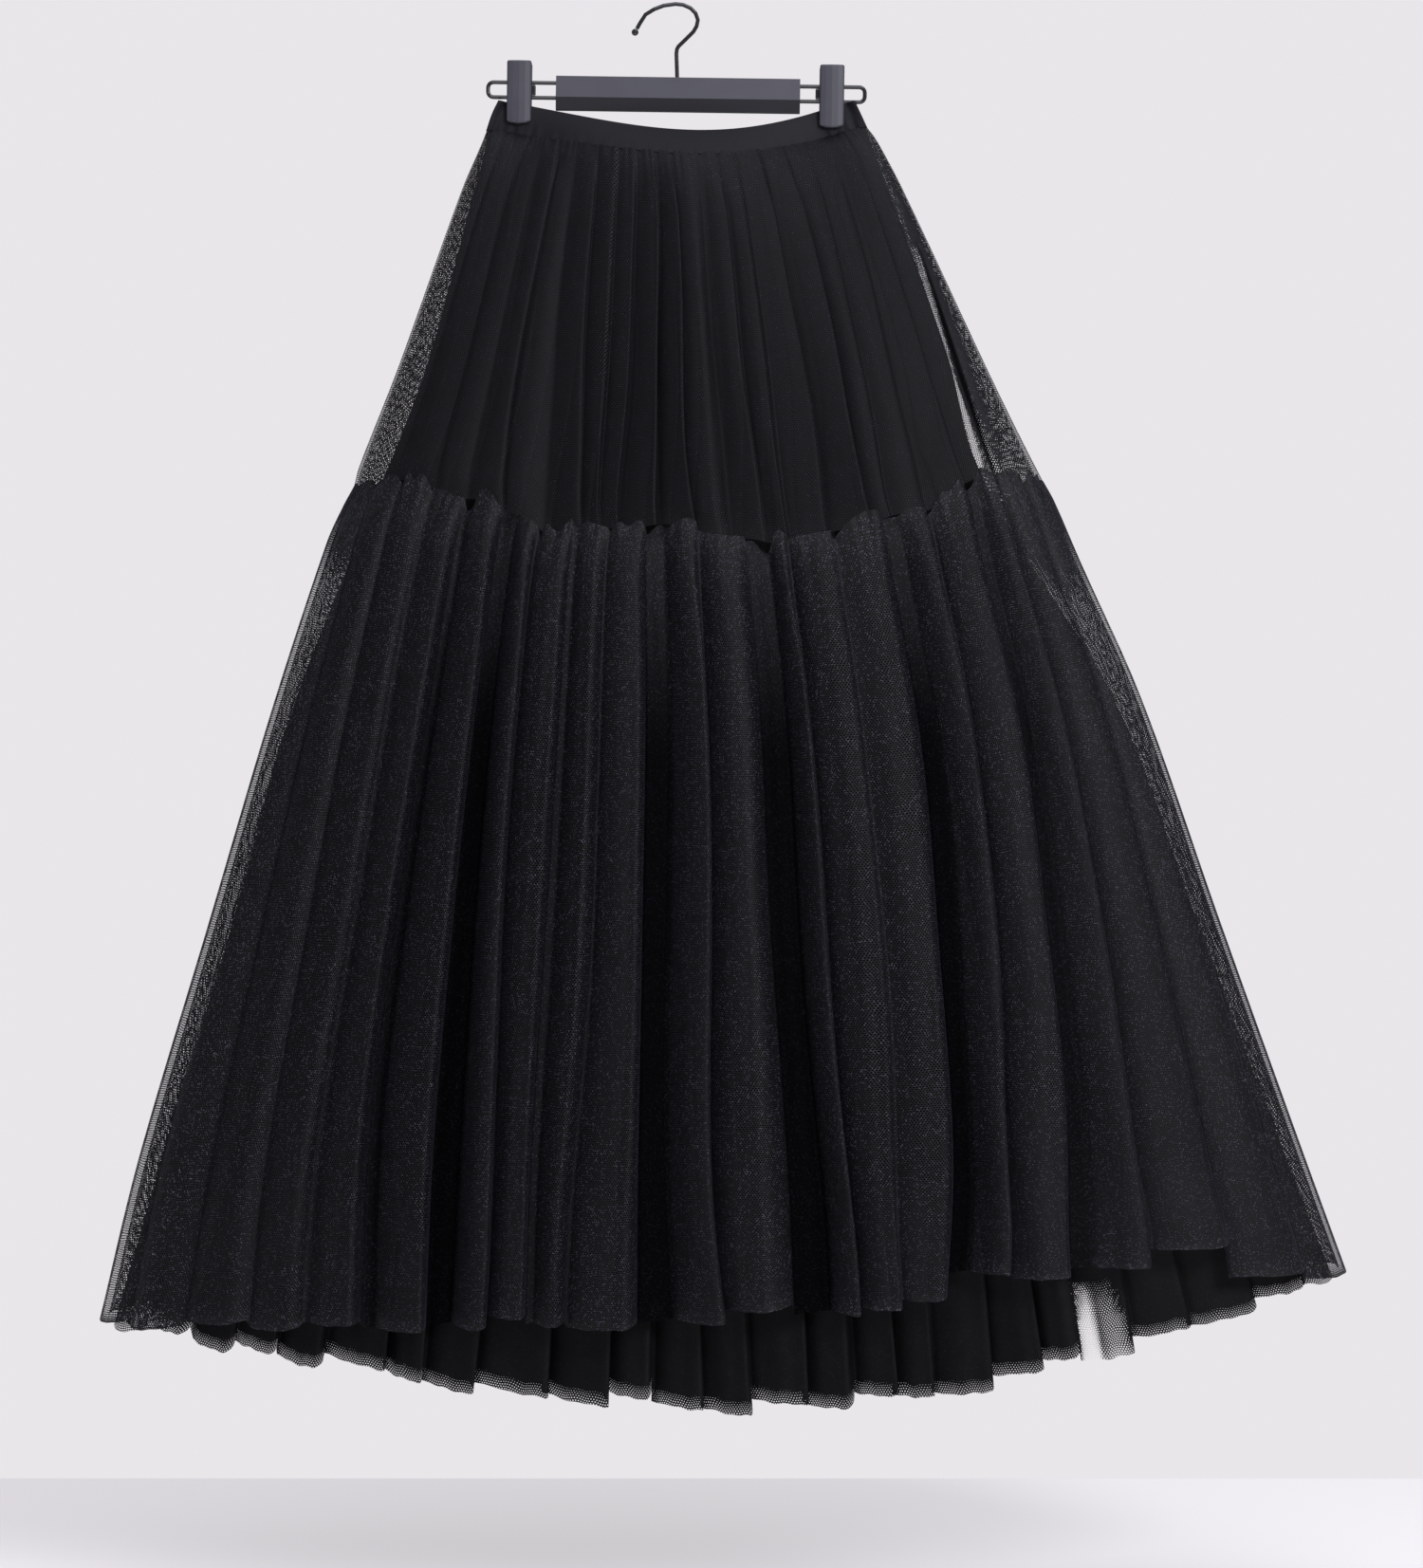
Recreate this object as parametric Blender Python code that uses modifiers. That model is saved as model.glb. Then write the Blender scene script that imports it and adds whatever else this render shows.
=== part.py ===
"""A long two-tier tulle skirt, hanging by its waistband from a plain clip hanger.

Frame: metres, +X to the viewer's right, +Y away from the viewer, +Z up. The origin is the
highest point inside the hanger's hook, where a rail or a wall hook carries it.

The skirt is cut as front and back panels, joined at two side seams: an upper tier gathered
to a plain waistband, a lower tier gathered to the upper one, a longer net layer beneath
them, and a short lining. Each panel is a gathered sheet: a loft through horizontal sections
of the hanging cloth, with its folds pressed inwards from the section's outline.
"""

import math
from collections import namedtuple

import bmesh
import bpy
from mathutils import Matrix, Vector

# Cloth
CLOTH_WALL = 0.0012
BAND_WALL = 0.0015
SIDE_SEAM_GAP = 0.0003

# Hanger
HANGER_TILT = math.radians(0.8)
WIRE_DIAMETER = 0.003
TIP_DIAMETER = 0.0052
WIRE_CLEARANCE = 0.0003
BAR_LENGTH = 0.180
BAR_HEIGHT = 0.025
BAR_CENTRE_X = 0.0028
BAR_TOP_Z = -0.0531
BAR_RIDGE_BELOW_TOP = 0.016
BAR_HALF_THICK_EDGE = 0.003
BAR_HALF_THICK_RIDGE = 0.0065
LOOP_LENGTH = 0.278
LOOP_HEIGHT = 0.0110
LOOP_CORNER = 0.004
LOOP_CORNER_STEPS = 4
LOOP_CENTRE_X = 0.0016
LOOP_CENTRE_Z = -0.0636
CLIP_WIDTH = 0.0180
CLIP_HALF_SPACING = 0.1152
CLIP_CENTRE_X = 0.0010
CLIP_TOP_Z = -0.0430
CLIP_HEIGHT = 0.0445
JAW_INNER_Y = 0.0027
JAW_THICK_TOP = 0.0060
JAW_THICK_FOOT = 0.0042
JAW_EDGE = 0.0012
JAW_EDGE_ANGLE = math.radians(40)
JAW_FOOT_ROUND = 0.0018
JAW_CROWN = 0.0010
BLOCK_HEIGHT = 0.0074
BLOCK_WIDTH = 0.0210
BLOCK_EDGE = 0.0008
BORE_SEGMENTS = 16
BORE_REACH = 1.2

# Centre line of the hook's wire: x and z, from the free end over the top and down the stem.
HOOK_ROUTE = (
    (-0.0282, -0.0172),
    (-0.0260, -0.0130),
    (-0.0220, -0.0066),
    (-0.0155, -0.0025),
    (-0.0086, 0.0002),
    (0.0000, 0.0015),
    (0.0055, 0.0010),
    (0.0112, -0.0014),
    (0.0149, -0.0051),
    (0.0167, -0.0100),
    (0.0158, -0.0147),
    (0.0135, -0.0188),
    (0.0078, -0.0246),
    (0.0026, -0.0298),
    (0.0015, -0.0320),
    (0.0012, -0.0352),
    (0.0020, -0.0525),
)

# A horizontal section of a hanging layer. down is the cloth's length from the waist seam,
# left, right, front and back are its outline, end is half the space between the front and
# back cloth at the side seams, pinch is 1 where the clips press front and back together,
# and fold is the depth of its folds.
Section = namedtuple(
    "Section",
    "down left_x left_z right_x right_z side_y front_y front_z back_y back_z end pinch fold",
)

BAND = (
    Section(0.000, -0.1300, -0.0705, 0.1315, -0.0738, -0.0047,
            -0.020, -0.0940, 0.008, -0.0925, 0.0015, 1.0, 0.0),
    Section(0.012, -0.1350, -0.0805, 0.1360, -0.0795, -0.0030,
            -0.028, -0.1040, 0.011, -0.1010, 0.0015, 1.0, 0.0),
    Section(0.022, -0.1385, -0.0910, 0.1405, -0.0885, -0.0010,
            -0.036, -0.1130, 0.014, -0.1080, 0.0016, 1.0, 0.0),
)
UPPER_TIER = (
    Section(0.000, -0.1390, -0.0916, 0.1410, -0.0891, -0.001,
            -0.0365, -0.1136, 0.0143, -0.1086, 0.0016, 1.00, 0.0004),
    Section(0.014, -0.1435, -0.1040, 0.1490, -0.1010, -0.004,
            -0.0425, -0.1270, 0.0170, -0.1220, 0.0075, 0.90, 0.0012),
    Section(0.050, -0.1570, -0.1375, 0.1675, -0.1375, -0.010,
            -0.0550, -0.1655, 0.0200, -0.1600, 0.0120, 0.60, 0.0030),
    Section(0.180, -0.2005, -0.2665, 0.2220, -0.2595, -0.032,
            -0.0920, -0.2930, 0.0290, -0.2900, 0.0200, 0.15, 0.0060),
    Section(0.270, -0.2290, -0.3450, 0.2590, -0.3420, -0.045,
            -0.1120, -0.3790, 0.0325, -0.3750, 0.0220, 0.00, 0.0060),
    Section(0.290, -0.2330, -0.3625, 0.2675, -0.3610, -0.048,
            -0.1150, -0.3995, 0.0330, -0.3950, 0.0220, 0.00, 0.0006),
)
LOWER_TIER = (
    Section(0.290, -0.2330, -0.3630, 0.2675, -0.3615, -0.048,
            -0.1150, -0.4000, 0.0330, -0.3955, 0.0220, 0.00, 0.0006),
    Section(0.302, -0.2400, -0.3740, 0.2750, -0.3730, -0.050,
            -0.1250, -0.4090, 0.0360, -0.4050, 0.0230, 0.00, 0.0045),
    Section(0.335, -0.2520, -0.4015, 0.2890, -0.4050, -0.057,
            -0.1400, -0.4395, 0.0380, -0.4360, 0.0240, 0.00, 0.0100),
    Section(0.450, -0.2880, -0.5150, 0.3355, -0.5115, -0.071,
            -0.1720, -0.5500, 0.0410, -0.5450, 0.0260, 0.00, 0.0120),
    Section(0.610, -0.3350, -0.6785, 0.3905, -0.6715, -0.085,
            -0.2030, -0.6970, 0.0440, -0.6920, 0.0280, 0.00, 0.0140),
    Section(0.770, -0.3820, -0.8405, 0.4440, -0.8235, -0.096,
            -0.2260, -0.8415, 0.0460, -0.8380, 0.0290, 0.00, 0.0150),
    Section(0.885, -0.4085, -0.9530, 0.4780, -0.9190, -0.104,
            -0.2380, -0.9385, 0.0470, -0.9380, 0.0300, 0.00, 0.0160),
)
UNDER_LAYER = (
    Section(0.016, -0.1380, -0.1060, 0.1425, -0.1030, -0.004,
            -0.0385, -0.1295, 0.0130, -0.1245, 0.0048, 0.90, 0.0006),
    Section(0.050, -0.1480, -0.1375, 0.1550, -0.1320, -0.010,
            -0.0485, -0.1650, 0.0148, -0.1600, 0.0068, 0.60, 0.0018),
    Section(0.180, -0.1810, -0.2665, 0.1995, -0.2595, -0.030,
            -0.0830, -0.2920, 0.0195, -0.2900, 0.0130, 0.15, 0.0030),
    Section(0.290, -0.2150, -0.3625, 0.2275, -0.3565, -0.046,
            -0.1040, -0.3990, 0.0235, -0.3950, 0.0160, 0.00, 0.0035),
    Section(0.455, -0.2685, -0.5150, 0.3100, -0.5115, -0.069,
            -0.1500, -0.5500, 0.0270, -0.5450, 0.0200, 0.00, 0.0060),
    Section(0.630, -0.3135, -0.6785, 0.3720, -0.6715, -0.083,
            -0.1800, -0.7210, 0.0285, -0.7160, 0.0240, 0.00, 0.0080),
    Section(0.790, -0.3640, -0.8405, 0.4300, -0.8235, -0.094,
            -0.2030, -0.8770, 0.0285, -0.8720, 0.0260, 0.00, 0.0100),
    Section(0.915, -0.3975, -0.9570, 0.4670, -0.9230, -0.102,
            -0.2180, -1.0035, 0.0285, -1.0000, 0.0270, 0.00, 0.0110),
)
LINING = (
    Section(0.026, -0.1350, -0.1160, 0.1390, -0.1120, -0.005,
            -0.0370, -0.1390, 0.0095, -0.1340, 0.0014, 0.88, 0.0),
    Section(0.050, -0.1430, -0.1375, 0.1490, -0.1320, -0.010,
            -0.0440, -0.1650, 0.0100, -0.1600, 0.0036, 0.60, 0.0),
    Section(0.180, -0.1730, -0.2665, 0.1910, -0.2595, -0.030,
            -0.0775, -0.2920, 0.0140, -0.2900, 0.0090, 0.15, 0.0005),
    Section(0.290, -0.2060, -0.3625, 0.2180, -0.3565, -0.045,
            -0.0965, -0.3980, 0.0175, -0.3950, 0.0120, 0.00, 0.0010),
    Section(0.455, -0.2550, -0.5150, 0.2945, -0.5115, -0.067,
            -0.1350, -0.5500, 0.0180, -0.5450, 0.0160, 0.00, 0.0020),
    Section(0.600, -0.2930, -0.6550, 0.3450, -0.6480, -0.080,
            -0.1560, -0.6900, 0.0170, -0.6850, 0.0190, 0.00, 0.0030),
    Section(0.745, -0.3340, -0.8155, 0.3940, -0.7970, -0.090,
            -0.1740, -0.8320, 0.0160, -0.8270, 0.0200, 0.00, 0.0040),
)

# The folds seen on each tier's front: the crest's place at the tier's top and at its foot,
# from -1 at the left side seam to 1 at the right one, and its depth beside the others'.
Fold = namedtuple("Fold", "top foot depth")

UPPER_FRONT = (
    Fold(-0.99, -0.98, 0.7),
    Fold(-0.95, -0.92, 0.8), Fold(-0.84, -0.79, 1.0), Fold(-0.75, -0.69, 0.9),
    Fold(-0.65, -0.62, 1.2), Fold(-0.56, -0.50, 0.7), Fold(-0.47, -0.37, 1.1),
    Fold(-0.34, -0.30, 1.0), Fold(-0.26, -0.24, 0.8), Fold(-0.15, -0.18, 1.3),
    Fold(-0.08, -0.06, 1.2), Fold(0.02, 0.03, 0.9), Fold(0.17, 0.15, 1.0),
    Fold(0.26, 0.21, 0.8), Fold(0.36, 0.29, 0.9), Fold(0.50, 0.45, 1.2),
    Fold(0.62, 0.52, 1.0), Fold(0.72, 0.59, 0.8), Fold(0.83, 0.70, 1.0),
    Fold(0.91, 0.81, 1.0), Fold(0.96, 0.92, 0.8), Fold(0.99, 0.98, 0.7),
)
LOWER_FRONT = (
    Fold(-0.995, -0.98, 0.9),
    Fold(-0.96, -0.90, 0.9), Fold(-0.89, -0.79, 0.9), Fold(-0.80, -0.69, 0.9),
    Fold(-0.71, -0.62, 0.8), Fold(-0.61, -0.53, 1.2), Fold(-0.49, -0.42, 1.3),
    Fold(-0.41, -0.35, 0.9), Fold(-0.29, -0.27, 1.0), Fold(-0.21, -0.18, 1.0),
    Fold(-0.08, -0.06, 1.3), Fold(0.08, 0.04, 0.7), Fold(0.19, 0.15, 1.2),
    Fold(0.31, 0.23, 1.1), Fold(0.45, 0.31, 0.9), Fold(0.59, 0.40, 1.1),
    Fold(0.71, 0.49, 1.0), Fold(0.81, 0.60, 1.1), Fold(0.89, 0.72, 0.8),
    Fold(0.96, 0.86, 0.9), Fold(0.995, 0.97, 0.9),
)
UNDER_FRONT = (
    Fold(-0.985, -0.97, 0.9),
    Fold(-0.94, -0.89, 0.8), Fold(-0.89, -0.82, 0.6), Fold(-0.82, -0.75, 0.9),
    Fold(-0.76, -0.68, 0.8), Fold(-0.68, -0.60, 1.0), Fold(-0.58, -0.51, 1.1),
    Fold(-0.50, -0.46, 0.7), Fold(-0.38, -0.35, 1.2), Fold(-0.26, -0.22, 1.1),
    Fold(-0.16, -0.14, 1.0), Fold(-0.08, -0.08, 0.8), Fold(0.00, 0.00, 1.0),
    Fold(0.09, 0.08, 0.9), Fold(0.18, 0.16, 1.0), Fold(0.27, 0.23, 0.9),
    Fold(0.36, 0.30, 1.0), Fold(0.45, 0.38, 1.1), Fold(0.56, 0.47, 1.2),
    Fold(0.65, 0.55, 0.8), Fold(0.72, 0.61, 0.8), Fold(0.80, 0.69, 1.0),
    Fold(0.88, 0.80, 1.0), Fold(0.95, 0.91, 0.8), Fold(0.985, 0.98, 0.9),
)
BAND_STEPS = 28
SOFT_PHASES = (0.0, 0.33, 0.67)
FULL_PHASES = (0.0, 0.25, 0.5, 0.75)
LINING_FRONT_FOLDS = 9
LINING_BACK_FOLDS = 9
UPPER_BACK_FOLDS = 17
LOWER_BACK_FOLDS = 18
UNDER_BACK_FOLDS = 17

# How far the tier seam stands above its even curve, by place across the front.
SeamLift = namedtuple("SeamLift", "share height width")
SEAM_LIFTS = (
    SeamLift(-0.83, 0.011, 0.14),
    SeamLift(0.82, 0.018, 0.16),
    SeamLift(-0.08, 0.008, 0.10),
    SeamLift(0.55, 0.004, 0.12),
)
SEAM_DOWN = 0.290
SEAM_LIFT_REACH = 0.11

# The lowest point of each level lies right of the middle, and the front drops most there.
DROP_SKEW = 0.12
DROP_POWER = 1.4
CLIP_GRIP_SHARE = 0.79
CLIP_GRIP_POWER = 1.5
EAR_START_SHARE = 0.95

# The folds' crests are rounder than their valleys, and the folds at the side seams are lower
# and are pressed in a little sideways.
SWELL_POWER = 0.6
SIDE_FOLD_SHARE = 0.22
SIDE_PRESS = 0.25


def add_collection(name):
    collection = bpy.data.collections.new(name)
    bpy.context.scene.collection.children.link(collection)
    return collection


def add_material(name, colour, roughness, metallic=0.0):
    material = bpy.data.materials.new(name)
    material.use_nodes = True
    shader = material.node_tree.nodes["Principled BSDF"]
    shader.inputs["Base Color"].default_value = (*colour, 1.0)
    shader.inputs["Roughness"].default_value = roughness
    shader.inputs["Metallic"].default_value = metallic
    return material


def add_object(name, data, material, collection, parent=None):
    obj = bpy.data.objects.new(name, data)
    data.materials.append(material)
    collection.objects.link(obj)
    obj.parent = parent
    return obj


def smoothstep(low, high, value):
    share = min(1.0, max(0.0, (value - low) / (high - low)))
    return share * share * (3.0 - 2.0 * share)


def section_at(sections, down):
    """The section at a cloth length from the waist, on a smooth curve through the given ones."""
    last = len(sections) - 2
    start = max(0, min(last, sum(row.down <= down for row in sections) - 1))
    low, high = sections[start], sections[start + 1]
    before = sections[max(0, start - 1)]
    after = sections[min(len(sections) - 1, start + 2)]
    span = high.down - low.down
    t = (down - low.down) / span
    rise = t * t * (3.0 - 2.0 * t)
    values = []
    for a, b, c, d in zip(before, low, high, after):
        slope_low = (c - a) / (high.down - before.down)
        slope_high = (d - b) / (after.down - low.down)
        bend_low = t * (1.0 - t) ** 2 * span * slope_low
        bend_high = t * t * (1.0 - t) * span * slope_high
        values.append(b + (c - b) * rise + bend_low - bend_high)
    return Section(*values)


def outline_depth(section, share, sine, full):
    """How far the cloth stands out from the plane of the side seams."""
    end = min(section.end, full)
    gripped = max(0.0, 1.0 - (share / CLIP_GRIP_SHARE) ** 2) ** CLIP_GRIP_POWER
    spread = (1.0 - section.pinch) * sine + section.pinch * gripped
    return end * math.sqrt(sine) + (full - end) * spread


def seam_lift(share, down):
    near = max(0.0, 1.0 - abs(down - SEAM_DOWN) / SEAM_LIFT_REACH)
    lift = sum(
        row.height * math.exp(-(((share - row.share) / row.width) ** 2)) for row in SEAM_LIFTS
    )
    return lift * near * near


def outline_point(section, share, front, eared=False):
    """A point on a section's outline. share runs from -1 at the left seam to 1 at the right.

    Where it is eared, only the ends past the clips lean forward to side_y.
    """
    sine = math.sqrt(max(0.0, 1.0 - share * share))
    middle = 0.5 * (section.left_x + section.right_x)
    half = 0.5 * (section.right_x - section.left_x)
    lean = smoothstep(EAR_START_SHARE, 1.0, abs(share)) if eared else 1.0
    side_y = section.side_y * lean
    full = section.side_y - section.front_y if front else section.back_y - section.side_y
    depth = outline_depth(section, share, sine, full)
    y = side_y - depth if front else side_y + depth
    skewed = share - DROP_SKEW * (1.0 - share * share)
    drop = max(0.0, 1.0 - skewed * skewed) ** DROP_POWER
    side_z = section.left_z + 0.5 * (1.0 + share) * (section.right_z - section.left_z)
    low_z = section.front_z if front else section.back_z
    middle_z = 0.5 * (section.left_z + section.right_z)
    z = side_z + (low_z - middle_z) * drop
    if front:
        z += seam_lift(share, section.down)
    return Vector((middle + half * share, y, z))


def even_folds(count, phase):
    """Folds of uneven width and depth across a panel whose own folds aren't seen."""
    widths = [
        1.0 + 0.30 * math.sin(2.4 * k + phase) + 0.20 * math.sin(5.1 * k + 2.0 * phase)
        for k in range(count)
    ]
    total = sum(widths)
    folds, passed = [], 0.0
    for k, width in enumerate(widths):
        turned = math.pi * (passed + 0.5 * width) / total
        passed += width
        place = -math.cos(turned)
        folds.append(Fold(place, place, 0.95 + 0.25 * math.sin(3.7 * k + phase)))
    return folds


def fold_columns(folds, phases):
    """Each column's place at the top and foot, and the share of a fold's depth pressed in."""
    tops = [math.acos(-fold.top) for fold in folds]
    feet = [math.acos(-fold.foot) for fold in folds]

    def borders(places):
        inner = [0.5 * (a + b) for a, b in zip(places, places[1:])]
        return [0.0, *inner, math.pi]

    top_borders, foot_borders = borders(tops), borders(feet)
    columns = []
    for k, fold in enumerate(folds):
        for phase in phases:
            top = top_borders[k] + phase * (top_borders[k + 1] - top_borders[k])
            foot = foot_borders[k] + phase * (foot_borders[k + 1] - foot_borders[k])
            swell = math.sin(math.pi * phase) ** SWELL_POWER
            seam_end = k == 0 and phase == 0.0
            columns.append((top, foot, 0.0 if seam_end else fold.depth * (1.0 - swell)))
    columns.append((math.pi, math.pi, 0.0))
    return columns


def edge_lean(row):
    """How far the cloth at a side seam faces the front or back: 0 where it faces sideways."""
    step = (row[1] - row[0]).to_2d()
    return abs(step.x) / step.length


def panel_points(sections, downs, columns, front):
    """Rows of points over a panel, with its folds pressed inwards from the outline."""
    side = -1.0 if front else 1.0
    length = downs[-1] - downs[0]
    rows = []
    for down in downs:
        section = section_at(sections, down)
        along = (down - downs[0]) / length
        row = []
        for top, foot, pressed in columns:
            angle = top + (foot - top) * along
            share = -math.cos(angle)
            point = outline_point(section, share, front)
            sine = math.sin(angle)
            amount = pressed * section.fold * (SIDE_FOLD_SHARE + (1.0 - SIDE_FOLD_SHARE) * sine)
            inward = Vector((-share * (1.0 - sine), -side * (SIDE_PRESS + sine), 0.0)).normalized()
            row.append(point + inward * amount)
        apart = 0.5 * SIDE_SEAM_GAP + 0.5 * CLOTH_WALL * max(edge_lean(row), edge_lean(row[::-1]))
        rows.append([point + Vector((0.0, side * apart, 0.0)) for point in row])
    return rows


def sheet_mesh(name, rows, closed):
    """An open sheet through rows of points, its faces turned away from the garment's inside."""
    mesh = bmesh.new()
    grid = [[mesh.verts.new(point) for point in row] for row in rows]
    count = len(grid[0])
    for upper, lower in zip(grid, grid[1:]):
        for i in range(count if closed else count - 1):
            j = (i + 1) % count
            mesh.faces.new((upper[i], lower[i], lower[j], upper[j]))
    data = bpy.data.meshes.new(name)
    mesh.to_mesh(data)
    mesh.free()
    data.shade_smooth()
    return data


def add_cloth(name, rows, wall, material, collection, closed=False):
    obj = add_object(name, sheet_mesh(name, rows, closed), material, collection)
    solidify = obj.modifiers.new("Wall", "SOLIDIFY")
    solidify.thickness = wall
    solidify.offset = 0.0
    return obj


def add_panel(name, sections, folds, phases, front, material, collection):
    columns = fold_columns(folds, phases)
    rows = panel_points(sections, [row.down for row in sections], columns, front)
    if not front:
        rows = [row[::-1] for row in rows]
    return add_cloth(name, rows, CLOTH_WALL, material, collection)


def build_waistband(material, collection):
    """The plain band: one closed loop, pressed flat where the clips hold it."""
    shares = [-math.cos(math.pi * step / BAND_STEPS) for step in range(BAND_STEPS + 1)]
    rows = []
    for section in BAND:
        front = [outline_point(section, share, True, eared=True) for share in shares]
        back = [outline_point(section, share, False, eared=True) for share in shares[-2:0:-1]]
        rows.append(front + back)
    return add_cloth("waistband", rows, BAND_WALL, material, collection, closed=True)


def build_skirt(net, satin, collection):
    panels = (
        ("upper_tier_front", UPPER_TIER, UPPER_FRONT, SOFT_PHASES, True, net),
        ("upper_tier_back", UPPER_TIER, even_folds(UPPER_BACK_FOLDS, 0.6), SOFT_PHASES, False, net),
        ("lower_tier_front", LOWER_TIER, LOWER_FRONT, FULL_PHASES, True, net),
        ("lower_tier_back", LOWER_TIER, even_folds(LOWER_BACK_FOLDS, 1.9), FULL_PHASES, False, net),
        ("under_layer_front", UNDER_LAYER, UNDER_FRONT, SOFT_PHASES, True, net),
        ("under_layer_back", UNDER_LAYER, even_folds(UNDER_BACK_FOLDS, 3.1), SOFT_PHASES, False, net),
        ("lining_front", LINING, even_folds(LINING_FRONT_FOLDS, 0.3), SOFT_PHASES, True, satin),
        ("lining_back", LINING, even_folds(LINING_BACK_FOLDS, 2.2), SOFT_PHASES, False, satin),
    )
    for name, sections, folds, phases, front, material in panels:
        add_panel(name, sections, folds, phases, front, material, collection)


def add_wire(name, route, diameter, material, collection, parent, cyclic=False):
    curve = bpy.data.curves.new(name, "CURVE")
    curve.dimensions = "3D"
    curve.bevel_depth = 0.5 * diameter
    curve.bevel_resolution = 2
    curve.use_fill_caps = not cyclic
    spline = curve.splines.new("POLY")
    spline.points.add(len(route) - 1)
    for point, place in zip(spline.points, route):
        point.co = (*place, 1.0)
    spline.use_cyclic_u = cyclic
    return add_object(name, curve, material, collection, parent)


def build_hook(metal, collection, parent):
    route = [(x, 0.0, z) for x, z in HOOK_ROUTE]
    route[-1] = (HOOK_ROUTE[-1][0], 0.0, BAR_TOP_Z + WIRE_CLEARANCE)
    add_wire("hanger_hook", route, WIRE_DIAMETER, metal, collection, parent)
    end, following = Vector(route[0]), Vector(route[1])
    outward = (end - following).normalized()
    centre = end + outward * (0.5 * TIP_DIAMETER + WIRE_CLEARANCE)
    ball = bmesh.new()
    bmesh.ops.create_uvsphere(ball, u_segments=12, v_segments=8, radius=0.5 * TIP_DIAMETER)
    data = bpy.data.meshes.new("hanger_hook_tip")
    ball.to_mesh(data)
    ball.free()
    data.shade_smooth()
    tip = add_object("hanger_hook_tip", data, metal, collection, parent)
    tip.location = centre


def loop_route():
    """The closed wire's centre line: two long runs with rounded corners."""
    half_x = 0.5 * LOOP_LENGTH - LOOP_CORNER
    half_z = 0.5 * LOOP_HEIGHT - LOOP_CORNER
    corners = ((half_x, half_z), (-half_x, half_z), (-half_x, -half_z), (half_x, -half_z))
    route = []
    for quarter, (x, z) in enumerate(corners):
        for step in range(LOOP_CORNER_STEPS + 1):
            angle = 0.5 * math.pi * (quarter + step / LOOP_CORNER_STEPS)
            route.append(
                (
                    LOOP_CENTRE_X + x + LOOP_CORNER * math.cos(angle),
                    0.0,
                    LOOP_CENTRE_Z + z + LOOP_CORNER * math.sin(angle),
                )
            )
    return route


def build_bar(plastic, collection, cutters, parent):
    """The flat bar with a ridge along its front and back, bored for the two wires."""
    profile = bpy.data.curves.new("hanger_bar_profile", "CURVE")
    profile.dimensions = "2D"
    profile.fill_mode = "BOTH"
    profile.extrude = 0.5 * BAR_LENGTH
    corners = (
        (BAR_HALF_THICK_EDGE, 0.0),
        (BAR_HALF_THICK_RIDGE, -BAR_RIDGE_BELOW_TOP),
        (BAR_HALF_THICK_EDGE, -BAR_HEIGHT),
        (-BAR_HALF_THICK_EDGE, -BAR_HEIGHT),
        (-BAR_HALF_THICK_RIDGE, -BAR_RIDGE_BELOW_TOP),
        (-BAR_HALF_THICK_EDGE, 0.0),
    )
    spline = profile.splines.new("POLY")
    spline.points.add(len(corners) - 1)
    for point, (y, z) in zip(spline.points, corners):
        point.co = (y, z, 0.0, 1.0)
    spline.use_cyclic_u = True
    drawn = bpy.data.objects.new("hanger_bar_profile", profile)
    collection.objects.link(drawn)
    quarter = math.radians(90)
    drawn.matrix_world = Matrix.Rotation(quarter, 4, "Z") @ Matrix.Rotation(quarter, 4, "X")
    bpy.context.view_layer.update()
    graph = bpy.context.evaluated_depsgraph_get()
    data = bpy.data.meshes.new_from_object(drawn.evaluated_get(graph))
    data.transform(drawn.matrix_world)
    bpy.data.objects.remove(drawn)
    welded = bmesh.new()
    welded.from_mesh(data)
    bmesh.ops.remove_doubles(welded, verts=welded.verts, dist=1e-6)
    bmesh.ops.recalc_face_normals(welded, faces=welded.faces)
    welded.to_mesh(data)
    welded.free()
    bar = add_object("hanger_bar", data, plastic, collection, parent)
    bar.location = (BAR_CENTRE_X, 0.0, BAR_TOP_Z)
    for level, side in (("upper", 1.0), ("lower", -1.0)):
        hole = bmesh.new()
        bmesh.ops.create_cone(
            hole,
            cap_ends=True,
            segments=BORE_SEGMENTS,
            radius1=0.5 * WIRE_DIAMETER + WIRE_CLEARANCE,
            radius2=0.5 * WIRE_DIAMETER + WIRE_CLEARANCE,
            depth=BORE_REACH * BAR_LENGTH,
            matrix=Matrix.Rotation(quarter, 4, "Y"),
        )
        hole_data = bpy.data.meshes.new(f"bar_hole_{level}")
        hole.to_mesh(hole_data)
        hole.free()
        cutter = bpy.data.objects.new(f"bar_hole_{level}", hole_data)
        cutters.objects.link(cutter)
        cutter.parent = parent
        cutter.location = (BAR_CENTRE_X, 0.0, LOOP_CENTRE_Z + side * 0.5 * LOOP_HEIGHT)
        cutter.hide_render = True
        cutter.display_type = "WIRE"
        bore = bar.modifiers.new(f"Bore {level}", "BOOLEAN")
        bore.object = cutter
        bore.operation = "DIFFERENCE"


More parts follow.
